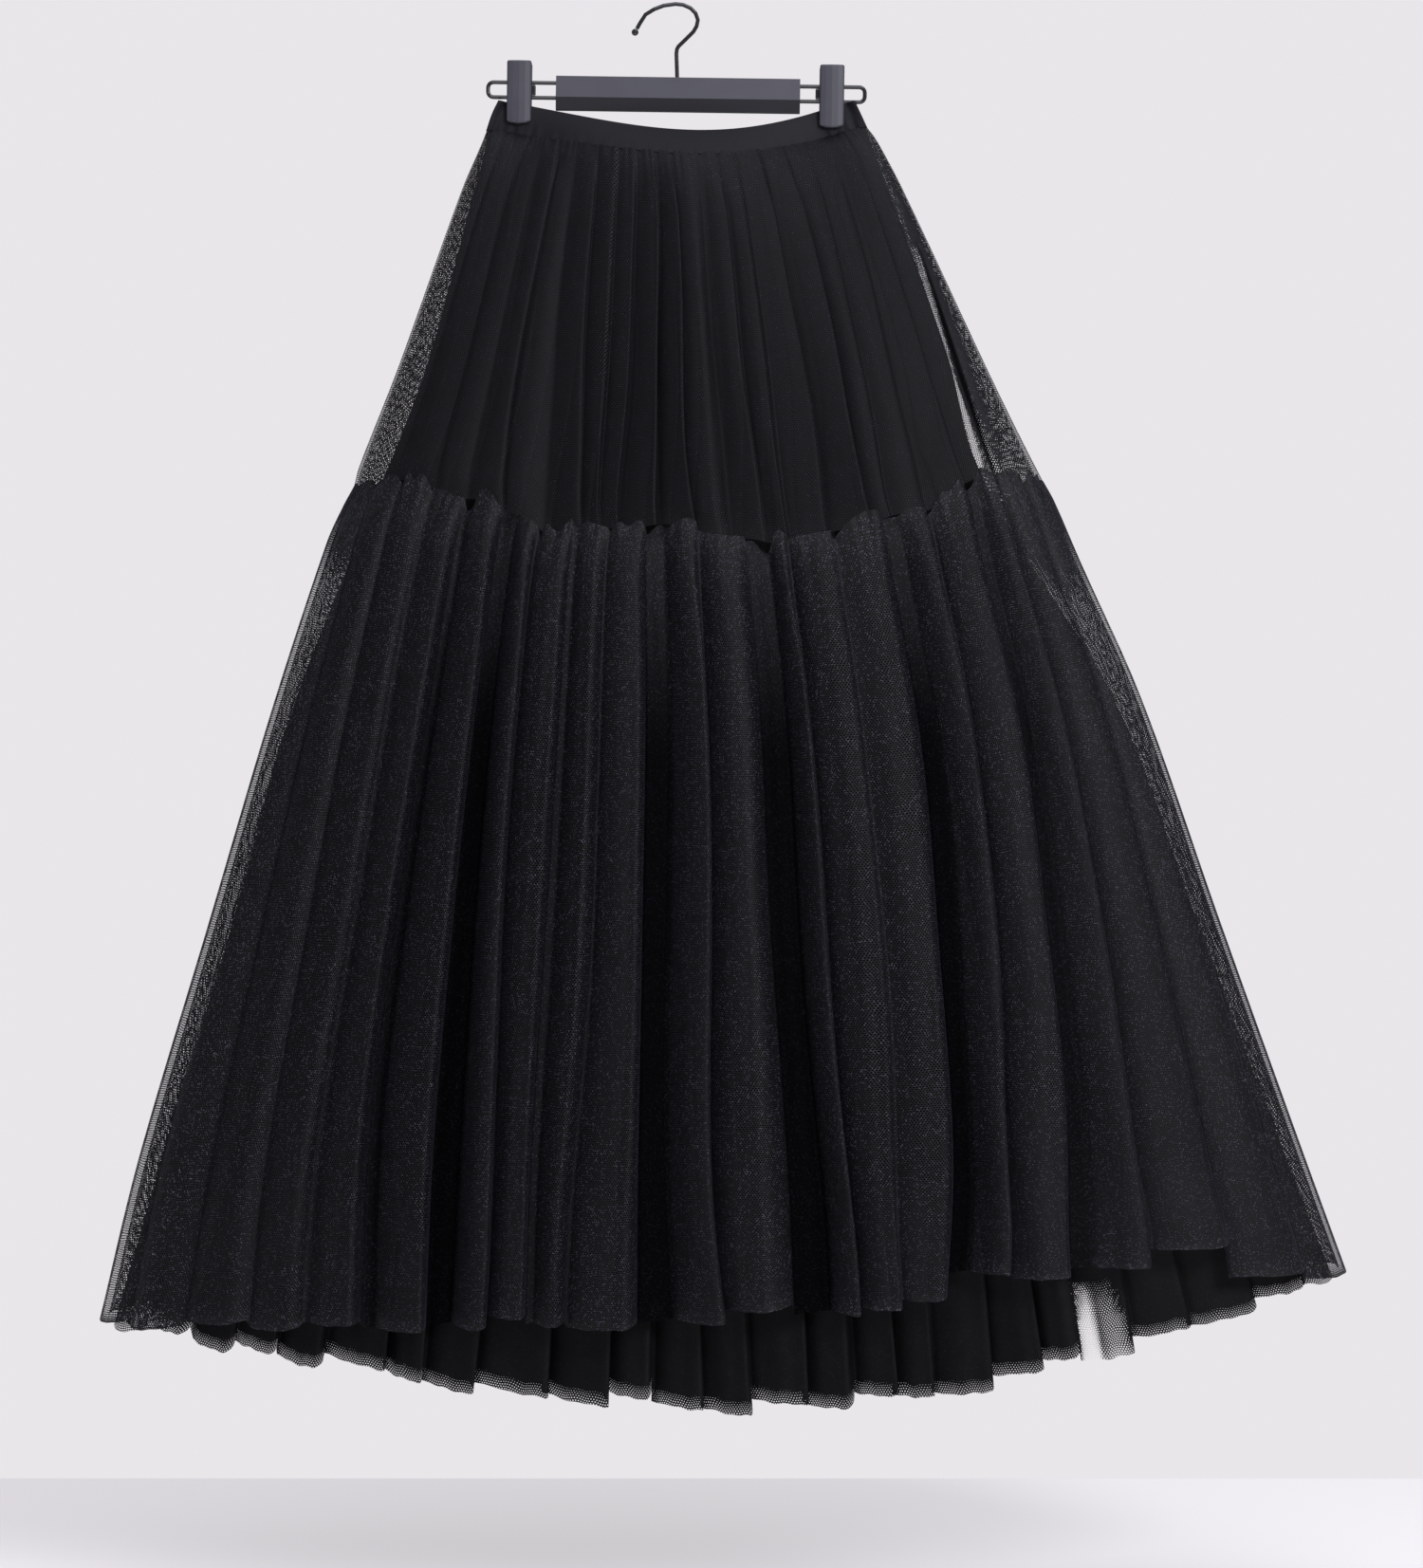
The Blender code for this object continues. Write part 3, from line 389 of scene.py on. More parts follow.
def gather_relief(panel, angle, below):
    """Small uneven gathers that run down from the panel's top seam and die out."""
    count = panel.gathers
    random = np.random.default_rng(panel.seed)
    places = np.pi * (np.arange(count) + random.uniform(0.15, 0.85, count)) / count
    lengths = panel.layer.gather_reach * random.uniform(0.25, 1.0, count) ** 1.5
    widths = np.pi / count * random.uniform(0.28, 0.5, count)
    depths = panel.layer.gather_depth * random.uniform(0.4, 1.0, count)
    relief = np.zeros(np.broadcast(angle, below).shape)
    for place, length, width, deep in zip(places, lengths, widths, depths):
        relief += deep * np.exp(-(((angle - place) / width) ** 2)) * np.exp(-below / length)
    return relief


# A layer's cloth: its form, the fine gathers under its top seam, how much of its creases
# shows, a slight wave in its faces, the share of the net that threads cover, the height of the
# puffed heads over its top seam, and the unevenness of its hem.
Layer = namedtuple(
    "Layer", "sections gather_depth gather_reach crease_share ripple cover head hem_wave"
)
UPPER = Layer(UPPER_TIER, 0.0008, 0.030, 0.30, 0.015, 0.50, 0.0, 0.0)
LOWER = Layer(LOWER_TIER, 0.0012, 0.045, 0.30, 0.012, 0.58, 0.0110, 0.0030)
UNDER = Layer(UNDER_LAYER, 0.0004, 0.050, 0.5, 0.03, 1.00, 0.0, 0.0070)
INNER = Layer(LINING, 0.0002, 0.050, 0.8, 0.05, 1.00, 0.0, 0.0015)

# One panel of a layer. steps is its columns for each fold, rows its rows from top to hem, over
# how far the crests hang over, as a share of a fold's width, and shade how dark the painted
# shade in its valleys is.
Panel = namedtuple(
    "Panel", "name layer folds front steps rows over gathers creases hem_cover patches shade seed"
)


def distance_along(row):
    """The distance from a row's first point to each of its points, along the row."""
    lengths = np.linalg.norm(np.diff(row, axis=0), axis=-1)
    return np.concatenate(([0.0], np.cumsum(lengths)))


def fold_layout(folds, steps):
    """Each column's angle at the panel's top and foot, and its place in its fold."""
    count = len(folds)
    spots = np.linspace(0.0, count, count * steps + 1)
    number = np.minimum(spots.astype(int), count - 1)
    phase = spots - number
    angles = []
    for key in ("top", "foot"):
        crests = np.arccos(-np.array([getattr(fold, key) for fold in folds]))
        borders = np.concatenate(([0.0], 0.5 * (crests[1:] + crests[:-1]), [math.pi]))
        angles.append(borders[number] + phase * (borders[number + 1] - borders[number]))
    return angles[0], angles[1], spots, number, phase


def fold_values(panel, key, number):
    """One value of the panel's folds, for each column."""
    return np.array([getattr(fold, key) for fold in panel.folds])[number]


def fold_swell(panel, number, phase):
    """How far each column stands out in its fold: 0 in the valley and 1 on the crest."""
    crisp = fold_values(panel, "crisp", number)
    gap = fold_values(panel, "gap", number)
    crest = 0.5 + CREST_SHIFT * fold_values(panel, "lean", number)
    past_gap = np.clip((phase - gap) / (1.0 - gap), 0.0, 1.0)
    climbed = np.minimum(past_gap / crest, (1.0 - past_gap) / (1.0 - crest))
    rounded = 1.0 - (1.0 - climbed) ** CREST_POWER
    return (1.0 - crisp) * rounded + crisp * climbed


def fold_press(panel, section, angle, along, down, spots, depth, swell):
    """How far the sheet lies in from its outline, with its folds, ripples, creases and gathers."""
    share, sine = -np.cos(angle), np.sin(angle)
    deep = section.fold * (SIDE_FOLD_SHARE + (1.0 - SIDE_FOLD_SHARE) * sine)
    press = deep * depth * (1.0 - swell)
    ripple = np.sin(TURN * (2.3 * spots + 0.6 * np.sin(spots)) + 3.0 * along)
    press = press + deep * panel.layer.ripple * ripple
    for crease in panel.creases:
        trough = panel.layer.crease_share * crease.depth
        press = press + trough * crossing(crease, share, down, 2) * sine
    gathers = gather_relief(panel, angle, down - down[0])
    return press + np.minimum(1.0, 12.0 * sine) * gathers


def edge_rise(panel, number, phase, spots, along, down, sine, swell):
    """How far the heads of the folds stand up at the top, less how far the hem hangs down."""
    uneven = 0.50 + 0.50 * np.sin(2.7 * number + 0.8)
    pinched = 0.35 * np.sin(TURN * (1.37 * spots + 0.4 * np.sin(1.9 * spots)))
    knob = panel.layer.head * uneven * (np.minimum(1.0, 1.8 * swell) - 0.55 + pinched)
    head = knob * np.exp(-(down - down[0]) / HEAD_REACH) * np.minimum(1.0, 2.0 * sine)
    ragged = 0.12 * np.sin(TURN * 3.1 * spots) * np.sin(5.3 * spots)
    wave = panel.layer.hem_wave * (ragged + swell - 0.6 - 0.6 * (phase - 0.5))
    hem = fold_values(panel, "drop", number) + wave
    return head - hem * smoothstep(HEM_STEP_SHARE, 1.0, along) * np.minimum(1.0, 4.0 * sine)


def net_values(panel, share, sine, down, depth, gap, swell, along_hem):
    """At each point, the share of the net that threads cover, and the share of light painted on it, which is
    below 1 where the valleys get painted shade.
    """
    below = down - down[0]
    to_hem = np.clip((down[-1] - down) / HEM_FADE, 0.0, 1.0)
    cover = panel.hem_cover + (panel.layer.cover - panel.hem_cover) * to_hem ** HEM_FADE_POWER
    for patch in panel.patches:
        cover = cover + patch.change * crossing(patch, share, down, patch.edge)
    gathered = np.exp(-below / GATHERED_REACH) * np.minimum(1.0, 3.0 * sine)
    cover = cover + GATHERED_COVER * gathered
    # Down in a fold the net lies several thick, so it is denser there. Its darkness there is painted shade on
    # the yarn's colour, gloss and sheen.
    open_share = smoothstep(0.0, VALLEY_SWELL, swell) * smoothstep(-0.003, 0.004, below)
    hollow = np.maximum(np.clip(depth - SHALLOW_FOLD, 0.0, 1.0), np.minimum(1.0, 3.0 * gap))
    reached = SHADE_AT_SEAM + (1.0 - SHADE_AT_SEAM) * smoothstep(0.0, SHADE_REACH, below)
    closed = panel.shade * hollow * (1.0 - open_share) * reached
    lit = 1.0 - closed * np.minimum(1.0, 2.5 * sine)
    cover = cover + VALLEY_COVER * (1.0 - lit)
    to_seam = np.minimum(along_hem, along_hem[-1] - along_hem)
    cover = np.where(to_seam < SEAM_ALLOWANCE, SEAM_ALLOWANCE_COVER, cover)
    return np.clip(cover, LEAST_COVER, 1.0), lit


def panel_sheet(panel):
    """The panel's points, one row for each cloth length, with its UV map and net values."""
    top, foot, spots, number, phase = fold_layout(panel.folds, panel.steps)
    sections = panel.layer.sections
    first, last = sections[0].down, sections[-1].down
    along = np.linspace(0.0, 1.0, panel.rows)[:, None] ** ROW_CROWDING
    down = first + (last - first) * along
    section = sections_along(sections, down[:, 0])
    angle = top + (foot - top) * along
    wander = 0.010 * np.sin(9.0 * angle + 5.0 * along) + 0.006 * np.sin(23.0 * angle - 8.0 * along)
    angle = angle + wander * np.sin(angle) * along
    sine = np.sin(angle)

    middles = np.arange(len(panel.folds)) + 0.5
    depth = np.interp(spots, middles, [fold.depth for fold in panel.folds])
    swell = fold_swell(panel, number, phase)
    press = fold_press(panel, section, angle, along, down, spots, depth, swell)

    # The crests hang over to the side that they lean to, which hides the valley beside them.
    width = np.gradient(foot) * panel.steps
    lean = fold_values(panel, "lean", number)
    hung = panel.over * lean * swell * width * sine * smoothstep(0.0, HANG_OVER_SHARE, along)
    share = -np.cos(np.clip(angle + hung, 0.0, math.pi))
    points = outline(section, share, panel.front)
    side = -1.0 if panel.front else 1.0
    inward = np.stack([-share * (1.0 - sine), -side * (SIDE_PRESS + sine), 0.0 * share], -1)
    inward /= np.linalg.norm(inward, axis=-1, keepdims=True)
    points = points + inward * press[..., None]
    points[..., 2] += edge_rise(panel, number, phase, spots, along, down, sine, swell)

    along_hem = distance_along(points[-1])
    gap = fold_values(panel, "gap", number)
    cover, lit = net_values(panel, share, sine, down, depth, gap, swell, along_hem)
    if panel.front:
        uv = np.stack(np.broadcast_arrays(along_hem, down), -1)
        return points, uv, {"cover": cover, "lit": lit}
    # The back's columns run the other way, so that its faces point outwards. Its net is cut on
    # a slant to the front's, so that the two don't line up.
    uv = np.stack(np.broadcast_arrays(along_hem[-1] - along_hem[::-1], down), -1)
    turn = math.radians(BACK_NET_TURN)
    uv = uv @ np.array([[math.cos(turn), math.sin(turn)], [-math.sin(turn), math.cos(turn)]])
    return points[:, ::-1], uv, {"cover": cover[:, ::-1], "lit": lit[:, ::-1]}


def sheet_object(name, points, uv, values, closed=False):
    """One quad sheet through rows of points, with its UV map in metres and its named values."""
    rows, columns = points.shape[:2]
    starts = np.arange(rows - 1)[:, None] * columns
    left = np.arange(columns if closed else columns - 1)
    right = (left + 1) % columns
    quads = np.stack(
        [starts + left, starts + columns + left, starts + columns + right, starts + right], -1
    ).reshape(-1, 4)
    data = bpy.data.meshes.new(name)
    data.vertices.add(rows * columns)
    data.vertices.foreach_set("co", points.reshape(-1))
    data.loops.add(quads.size)
    data.loops.foreach_set("vertex_index", quads.reshape(-1))
    data.polygons.add(len(quads))
    data.polygons.foreach_set("loop_start", np.arange(0, quads.size, 4))
    data.update(calc_edges=True)
    data.shade_smooth()
    layer = data.uv_layers.new(name="cut")
    layer.data.foreach_set("uv", uv.reshape(-1, 2)[quads.reshape(-1)].reshape(-1))
    for key, value in values.items():
        attribute = data.attributes.new(key, "FLOAT", "POINT")
        attribute.data.foreach_set("value", np.ascontiguousarray(value).reshape(-1))
    obj = bpy.data.objects.new(name, data)
    bpy.context.scene.collection.objects.link(obj)
    return obj


def linear(hex_colour):
    """An sRGB hex colour as linear red, green, blue and alpha."""
    parts = [int(hex_colour[start : start + 2], 16) / 255.0 for start in (1, 3, 5)]
    return (*[part / 12.92 if part <= 0.04045 else ((part + 0.055) / 1.055) ** 2.4 for part in parts], 1.0)


def add_node(tree, kind, inputs=None, **settings):
    """Adds a node with its settings. An input is a value, or another node's output to link."""
    node = tree.nodes.new(kind)
    for key, value in settings.items():
        setattr(node, key, value)
    for key, value in (inputs or {}).items():
        if isinstance(value, bpy.types.NodeSocket):
            tree.links.new(value, node.inputs[key])
        else:
            node.inputs[key].default_value = value
    return node


def new_material(name):
    """A material, its node tree and its shader node."""
    material = bpy.data.materials.new(name)
    material.use_nodes = True
    return material, material.node_tree, material.node_tree.nodes["Principled BSDF"]


def set_shader(shader, **inputs):
    """Sets or links the shader's sockets, each named in lower case with underscores."""
    for key, value in inputs.items():
        socket = shader.inputs[key.replace("_", " ").title().replace("Ior", "IOR")]
        if isinstance(value, bpy.types.NodeSocket):
            shader.id_data.links.new(value, socket)
        else:
            socket.default_value = value


# A real hole is 1 to 1.5 mm across. It is drawn coarser, so that it still shows.
NET_PITCH = 0.0018
# Knitted net is never quite even: its holes drift by up to this over 2 or 3 cm.
NET_DRIFT = 0.004
# The painted glints' spots, for each drawn cell: 0.7 mm apart.
SPOTS_PER_CELL = (2.6, 4.6, 1.0)
ROOT_THREE = math.sqrt(3.0)


def hexagon_reach(tree, place):
    """How far a place is from the middle of its hexagon, up to 0.5 at the hexagon's edge.

    Hexagons one unit across stand in two grids of one by one, the second half a step on.
    """
    half = (0.5, 0.5, 0.0)
    stretch = (1.0, ROOT_THREE, 0.0)
    offsets = []
    for shift in ((0.0, 0.0, 0.0), half):
        moved = add_node(tree, "ShaderNodeVectorMath", {0: place, 1: shift}, operation="ADD").outputs[0]
        part = add_node(tree, "ShaderNodeVectorMath", {0: moved}, operation="FRACTION").outputs[0]
        centred = add_node(tree, "ShaderNodeVectorMath", {0: part, 1: half}, operation="SUBTRACT")
        offset = add_node(
            tree, "ShaderNodeVectorMath", {0: centred.outputs[0], 1: stretch}, operation="MULTIPLY"
        )
        offsets.append(offset.outputs[0])
    lengths = [
        add_node(tree, "ShaderNodeVectorMath", {0: offset}, operation="LENGTH").outputs["Value"]
        for offset in offsets
    ]
    second = add_node(tree, "ShaderNodeMath", {0: lengths[1], 1: lengths[0]}, operation="LESS_THAN")
    nearest = add_node(
        tree, "ShaderNodeMix", {"Factor": second.outputs[0], 4: offsets[0], 5: offsets[1]}, data_type="VECTOR"
    ).outputs[1]
    folded = add_node(tree, "ShaderNodeVectorMath", {0: nearest}, operation="ABSOLUTE").outputs[0]
    slanted = add_node(
        tree, "ShaderNodeVectorMath", {0: folded, 1: (0.5, 0.5 * ROOT_THREE, 0.0)}, operation="DOT_PRODUCT"
    ).outputs["Value"]
    across = add_node(tree, "ShaderNodeSeparateXYZ", {0: folded}).outputs["X"]
    return add_node(tree, "ShaderNodeMath", {0: slanted, 1: across}, operation="MAXIMUM").outputs[0]


def tulle_material(name, colour, painted_glint_colour, painted_glint_share, sheen, gloss=0.25):
    """Nylon tulle: fine black multifilament yarn, warp-knitted into hexagons, heat-set crisp.

    The smooth filaments give it a faint blue-grey sheen. Pinpoint glints are painted highlights
    in the yarn's colour, and the holes let the layer or the wall behind show through.
    """
    material, tree, shader = new_material(name)
    flat = add_node(tree, "ShaderNodeUVMap", uv_map="cut").outputs["UV"]
    drift = add_node(
        tree, "ShaderNodeTexNoise", {"Vector": flat, "Scale": 42.0, "Detail": 2.0}, noise_dimensions="2D"
    ).outputs["Color"]
    pulled = add_node(tree, "ShaderNodeVectorMath", {0: drift, 3: NET_DRIFT}, operation="SCALE").outputs[0]
    uv = add_node(tree, "ShaderNodeVectorMath", {0: flat, 1: pulled}, operation="ADD").outputs[0]
    cell = (NET_PITCH, NET_PITCH * ROOT_THREE, 1.0)
    scaled = add_node(tree, "ShaderNodeVectorMath", {0: uv, 1: cell}, operation="DIVIDE").outputs[0]
    reach = hexagon_reach(tree, scaled)
    # The share that threads cover sets how far the hole's edge stands from its middle.
    cover = add_node(tree, "ShaderNodeAttribute", attribute_name="cover").outputs["Fac"]
    left_open = add_node(tree, "ShaderNodeMath", {0: 1.0, 1: cover}, operation="SUBTRACT").outputs[0]
    hole = add_node(tree, "ShaderNodeMath", {0: left_open}, operation="SQRT").outputs[0]
    edge = add_node(tree, "ShaderNodeMath", {0: hole, 1: 0.5}, operation="MULTIPLY").outputs[0]
    alpha = add_node(tree, "ShaderNodeMath", {0: reach, 1: edge}, operation="GREATER_THAN").outputs[0]
    # Painted highlights: a few random spots of the yarn are painted lighter as glints, some only in part.
    spots = add_node(tree, "ShaderNodeVectorMath", {0: scaled, 1: SPOTS_PER_CELL}, operation="MULTIPLY")
    whole = add_node(tree, "ShaderNodeVectorMath", {0: spots.outputs[0]}, operation="FLOOR")
    chance = add_node(
        tree, "ShaderNodeTexWhiteNoise", {"Vector": whole.outputs[0]}, noise_dimensions="2D"
    ).outputs["Value"]
    painted_glint = add_node(
        tree,
        "ShaderNodeMapRange",
        {"Value": chance, "From Min": 1.0 - 3.0 * painted_glint_share, "From Max": 1.0 - painted_glint_share},
    ).outputs["Result"]
    thread = add_node(
        tree, "ShaderNodeMix", {"Factor": painted_glint, 6: linear(colour), 7: linear(painted_glint_colour)}, data_type="RGBA"
    ).outputs[2]
    # The dye and the net's tension vary a little over about 2 cm.
    mottle = add_node(
        tree, "ShaderNodeTexNoise", {"Vector": flat, "Scale": 55.0, "Detail": 6.0}, noise_dimensions="2D"
    ).outputs["Fac"]
    tone = add_node(
        tree,
        "ShaderNodeMapRange",
        {"Value": mottle, "From Min": 0.3, "From Max": 0.7, "To Min": 0.75, "To Max": 1.3},
    ).outputs["Result"]
    thread = add_node(tree, "ShaderNodeVectorMath", {0: thread, 3: tone}, operation="SCALE").outputs[0]
    # Painted shade: in the valleys this darkens the yarn's colour towards near black and dims its gloss and
    # sheen.
    lit = add_node(tree, "ShaderNodeAttribute", attribute_name="lit").outputs["Fac"]
    shaded = add_node(
        tree, "ShaderNodeMix", {"Factor": lit, 6: linear("#010102"), 7: thread}, data_type="RGBA"
    ).outputs[2]
    gleam = add_node(tree, "ShaderNodeMath", {0: lit, 1: gloss}, operation="MULTIPLY").outputs[0]
    nap = add_node(tree, "ShaderNodeMath", {0: lit, 1: sheen}, operation="MULTIPLY").outputs[0]
    set_shader(
        shader,
        base_color=shaded,
        alpha=alpha,
        roughness=0.62,
        ior=1.53,
        specular_ior_level=gleam,
        sheen_weight=nap,
        sheen_roughness=0.40,
        sheen_tint=linear("#bdb9dc"),
    )
    return material


def lining_material():
    """Polyester lining: opaque plain-woven filament cloth, dyed black, with a dull satin face."""
    material, tree, shader = new_material("black_polyester_lining")
    uv = add_node(tree, "ShaderNodeUVMap", uv_map="cut").outputs["UV"]
    mottle = add_node(
        tree, "ShaderNodeTexNoise", {"Vector": uv, "Scale": 18.0, "Detail": 3.0}, noise_dimensions="2D"
    ).outputs["Fac"]
    tone = add_node(
        tree,
        "ShaderNodeMix",
        {"Factor": mottle, 6: linear("#08080b"), 7: linear("#0e0e12")},
        data_type="RGBA",
    ).outputs[2]
    # The yarns lie 0.15 mm apart. The bump is drawn at 1 mm, so that it still shows.
    weave = add_node(
        tree, "ShaderNodeTexWave", {"Vector": uv, "Scale": 160.0, "Distortion": 0.4}, wave_type="BANDS"
    ).outputs["Fac"]
    bump = add_node(tree, "ShaderNodeBump", {"Height": weave, "Strength": 0.12, "Distance": 0.0004})
    set_shader(
        shader,
        base_color=tone,
        normal=bump.outputs["Normal"],
        roughness=0.48,
        ior=1.54,
        sheen_weight=0.05,
        sheen_roughness=0.45,
        sheen_tint=linear("#b9b6cc"),
    )
    return material


def band_material():
    """Woven band: tightly woven matte polyester over elastic, with fine ribs up and down.

    The ribs give its smooth face a slight grain, and it is a shade lighter than the net.
    """
    material, tree, shader = new_material("black_woven_band")
    uv = add_node(tree, "ShaderNodeUVMap", uv_map="cut").outputs["UV"]
    ribs = add_node(
        tree, "ShaderNodeTexWave", {"Vector": uv, "Scale": 170.0, "Distortion": 0.8}, wave_type="BANDS"
    ).outputs["Fac"]
    mottle = add_node(
        tree, "ShaderNodeTexNoise", {"Vector": uv, "Scale": 60.0, "Detail": 4.0}, noise_dimensions="2D"
    ).outputs["Fac"]
    grain = add_node(tree, "ShaderNodeMath", {0: ribs, 1: mottle}, operation="MULTIPLY").outputs[0]
    tone = add_node(
        tree,
        "ShaderNodeMix",
        {"Factor": grain, 6: linear("#121117"), 7: linear("#1b1a21")},
        data_type="RGBA",
    ).outputs[2]
    bump = add_node(tree, "ShaderNodeBump", {"Height": grain, "Strength": 0.25, "Distance": 0.0005})
    set_shader(
        shader,
        base_color=tone,
        normal=bump.outputs["Normal"],
        roughness=0.68,
        ior=1.5,
        specular_ior_level=0.3,
        sheen_weight=0.05,
        sheen_roughness=0.5,
        sheen_tint=linear("#cfcbe0"),
    )
    return material


def plastic_material(name, dark, light):
    """Soft-touch moulded plastic: charcoal polypropylene with a fine spark-eroded grain."""
    material, tree, shader = new_material(name)
    place = add_node(tree, "ShaderNodeTexCoord").outputs["Object"]
    grain = add_node(
        tree, "ShaderNodeTexNoise", {"Vector": place, "Scale": 1400.0, "Detail": 2.0}
    ).outputs["Fac"]
    handled = add_node(
        tree, "ShaderNodeTexNoise", {"Vector": place, "Scale": 45.0, "Detail": 3.0}
    ).outputs["Fac"]
    tone = add_node(
        tree,
        "ShaderNodeMix",
        {"Factor": handled, 6: linear(dark), 7: linear(light)},
        data_type="RGBA",
    ).outputs[2]
    worn = add_node(
        tree, "ShaderNodeMapRange", {"Value": handled, "To Min": 0.42, "To Max": 0.56}
    ).outputs["Result"]
    bump = add_node(tree, "ShaderNodeBump", {"Height": grain, "Strength": 0.2, "Distance": 0.0001})
    set_shader(shader, base_color=tone, roughness=worn, normal=bump.outputs["Normal"], ior=1.49)
    return material


def wire_material():
    """Blackened spring-steel wire: drawn wire with a glossy black lacquer over it."""
    material, tree, shader = new_material("blackened_steel_wire")
    place = add_node(tree, "ShaderNodeTexCoord").outputs["Object"]
    runs = add_node(
        tree, "ShaderNodeTexNoise", {"Vector": place, "Scale": 220.0, "Detail": 2.0}
    ).outputs["Fac"]
    gloss = add_node(
        tree, "ShaderNodeMapRange", {"Value": runs, "To Min": 0.16, "To Max": 0.30}
    ).outputs["Result"]
    set_shader(
        shader,
        base_color=linear("#15151a"),
        roughness=gloss,
        ior=1.5,
        coat_weight=0.6,
        coat_roughness=0.12,
    )
    return material


def floor_material():
    """Matte pale board, rolled with wall paint."""
    material, tree, shader = new_material("pale_floor")
    place = add_node(tree, "ShaderNodeTexCoord").outputs["Object"]
    roller = add_node(
        tree, "ShaderNodeTexNoise", {"Vector": place, "Scale": 90.0, "Detail": 2.0}
    ).outputs["Fac"]
    bump = add_node(tree, "ShaderNodeBump", {"Height": roller, "Strength": 0.05, "Distance": 0.001})
    # The light is kept low for black cloth, so the board adds a little of its own to stay pale.
    set_shader(
        shader,
        base_color=linear("#f0eef0"),
        roughness=0.8,
        normal=bump.outputs["Normal"],
        emission_color=linear("#e9e6ea"),
        emission_strength=0.52,
    )
    return material


# Denser strips down both sides, the open slit at the right, and the darker fold beside it.
UPPER_PATCHES = (
    Patch(-0.955, -0.15, -0.955, 0.460, 0.100, 0.26),
    Patch(0.965, -0.15, 0.950, 0.460, 0.100, 0.26),
    Patch(0.950, 0.090, 0.850, 0.306, 0.0090, -0.98, 4),
    Patch(0.985, 0.02, 0.884, 0.310, 0.019, 0.38),
)
# Denser strips down both sides, a thin dark line at each edge, and the ends of the tier seam.
LOWER_PATCHES = (
    Patch(-0.940, 0.20, -0.940, 1.050, 0.080, 0.22),
    Patch(0.930, 0.20, 0.940, 1.050, 0.090, 0.24),
    Patch(-0.996, 0.20, -0.996, 1.050, 0.005, 0.25),
    Patch(0.996, 0.30, 0.996, 1.050, 0.005, 0.25),
    Patch(0.960, 0.21, 0.960, 0.370, 0.070, 0.35),
    Patch(-0.970, 0.22, -0.970, 0.360, 0.050, 0.30),
)
# Sheerer sides, and the gap in the hem at the right, with thinner net beside it on the front.
UNDER_SIDE_PATCHES = (
    Patch(-0.965, 0.560, -0.970, 1.250, 0.045, -0.14),
    Patch(0.990, 0.500, 0.990, 1.250, 0.030, -0.14),
)
UNDER_FRONT_PATCHES = (
    Patch(0.592, 0.866, 0.592, 0.990, 0.016, -0.99, 6),
    Patch(0.632, 0.866, 0.636, 0.990, 0.020, -0.30, 4),
    *UNDER_SIDE_PATCHES,
)
UNDER_BACK_PATCHES = (Patch(0.641, 0.860, 0.641, 0.990, 0.032, -0.99, 6), *UNDER_SIDE_PATCHES)

PANELS = table(
    Panel,
    ("upper_tier_front", UPPER, UPPER_FRONT, True, 19, 90, 0.30, 96,
     UPPER_CREASES, 0.50, UPPER_PATCHES, 0.60, 11),
    ("upper_tier_back", UPPER, even_folds(17, 0.6), False, 18, 70, 0.30, 90,
     even_creases(17, 0.0, 0.29, 0.0015, 0.7), 0.50, UPPER_PATCHES, 0.60, 12),
    ("lower_tier_front", LOWER, LOWER_FRONT, True, 22, 130, 0.16, 120,
     LOWER_CREASES, 0.90, LOWER_PATCHES, 0.91, 13),
    ("lower_tier_back", LOWER, even_folds(18, 1.9), False, 20, 100, 0.20, 110,
     even_creases(19, 0.29, 0.885, 0.0024, 1.9), 0.90, LOWER_PATCHES, 0.85, 14),
    ("under_layer_front", UNDER, UNDER_FRONT, True, 16, 110, 0.34, 80,
     even_creases(15, 0.016, 0.915, 0.0014, 0.2), 0.78, UNDER_FRONT_PATCHES, 0.60, 15),
    ("under_layer_back", UNDER, even_folds(17, 3.1), False, 16, 90, 0.30, 80,
     even_creases(15, 0.016, 0.915, 0.0014, 2.6), 0.72, UNDER_BACK_PATCHES, 0.60, 16),
    ("lining_front", INNER, even_folds(9, 0.3), True, 16, 50, 0.10, 40,
     even_creases(9, 0.026, 0.745, 0.0012, 0.9), 1.0, (), 0.0, 17),
    ("lining_back", INNER, even_folds(9, 2.2), False, 16, 50, 0.10, 40,
     even_creases(9, 0.026, 0.745, 0.0012, 2.9), 1.0, (), 0.0, 18),
)

BAND_COLUMNS = 260
BAND_ROWS = 16
BAND_THICKNESS = 0.0009
# Small puckers where the gathers are sewn to the band, each with its height and pitch, the share
# of the band's height where they start, and how far its middle rolls outwards.
PUCKERS = ((0.0005, 0.0071), (0.0004, 0.0117))
PUCKER_START = 0.45
BAND_ROLL = 0.0006


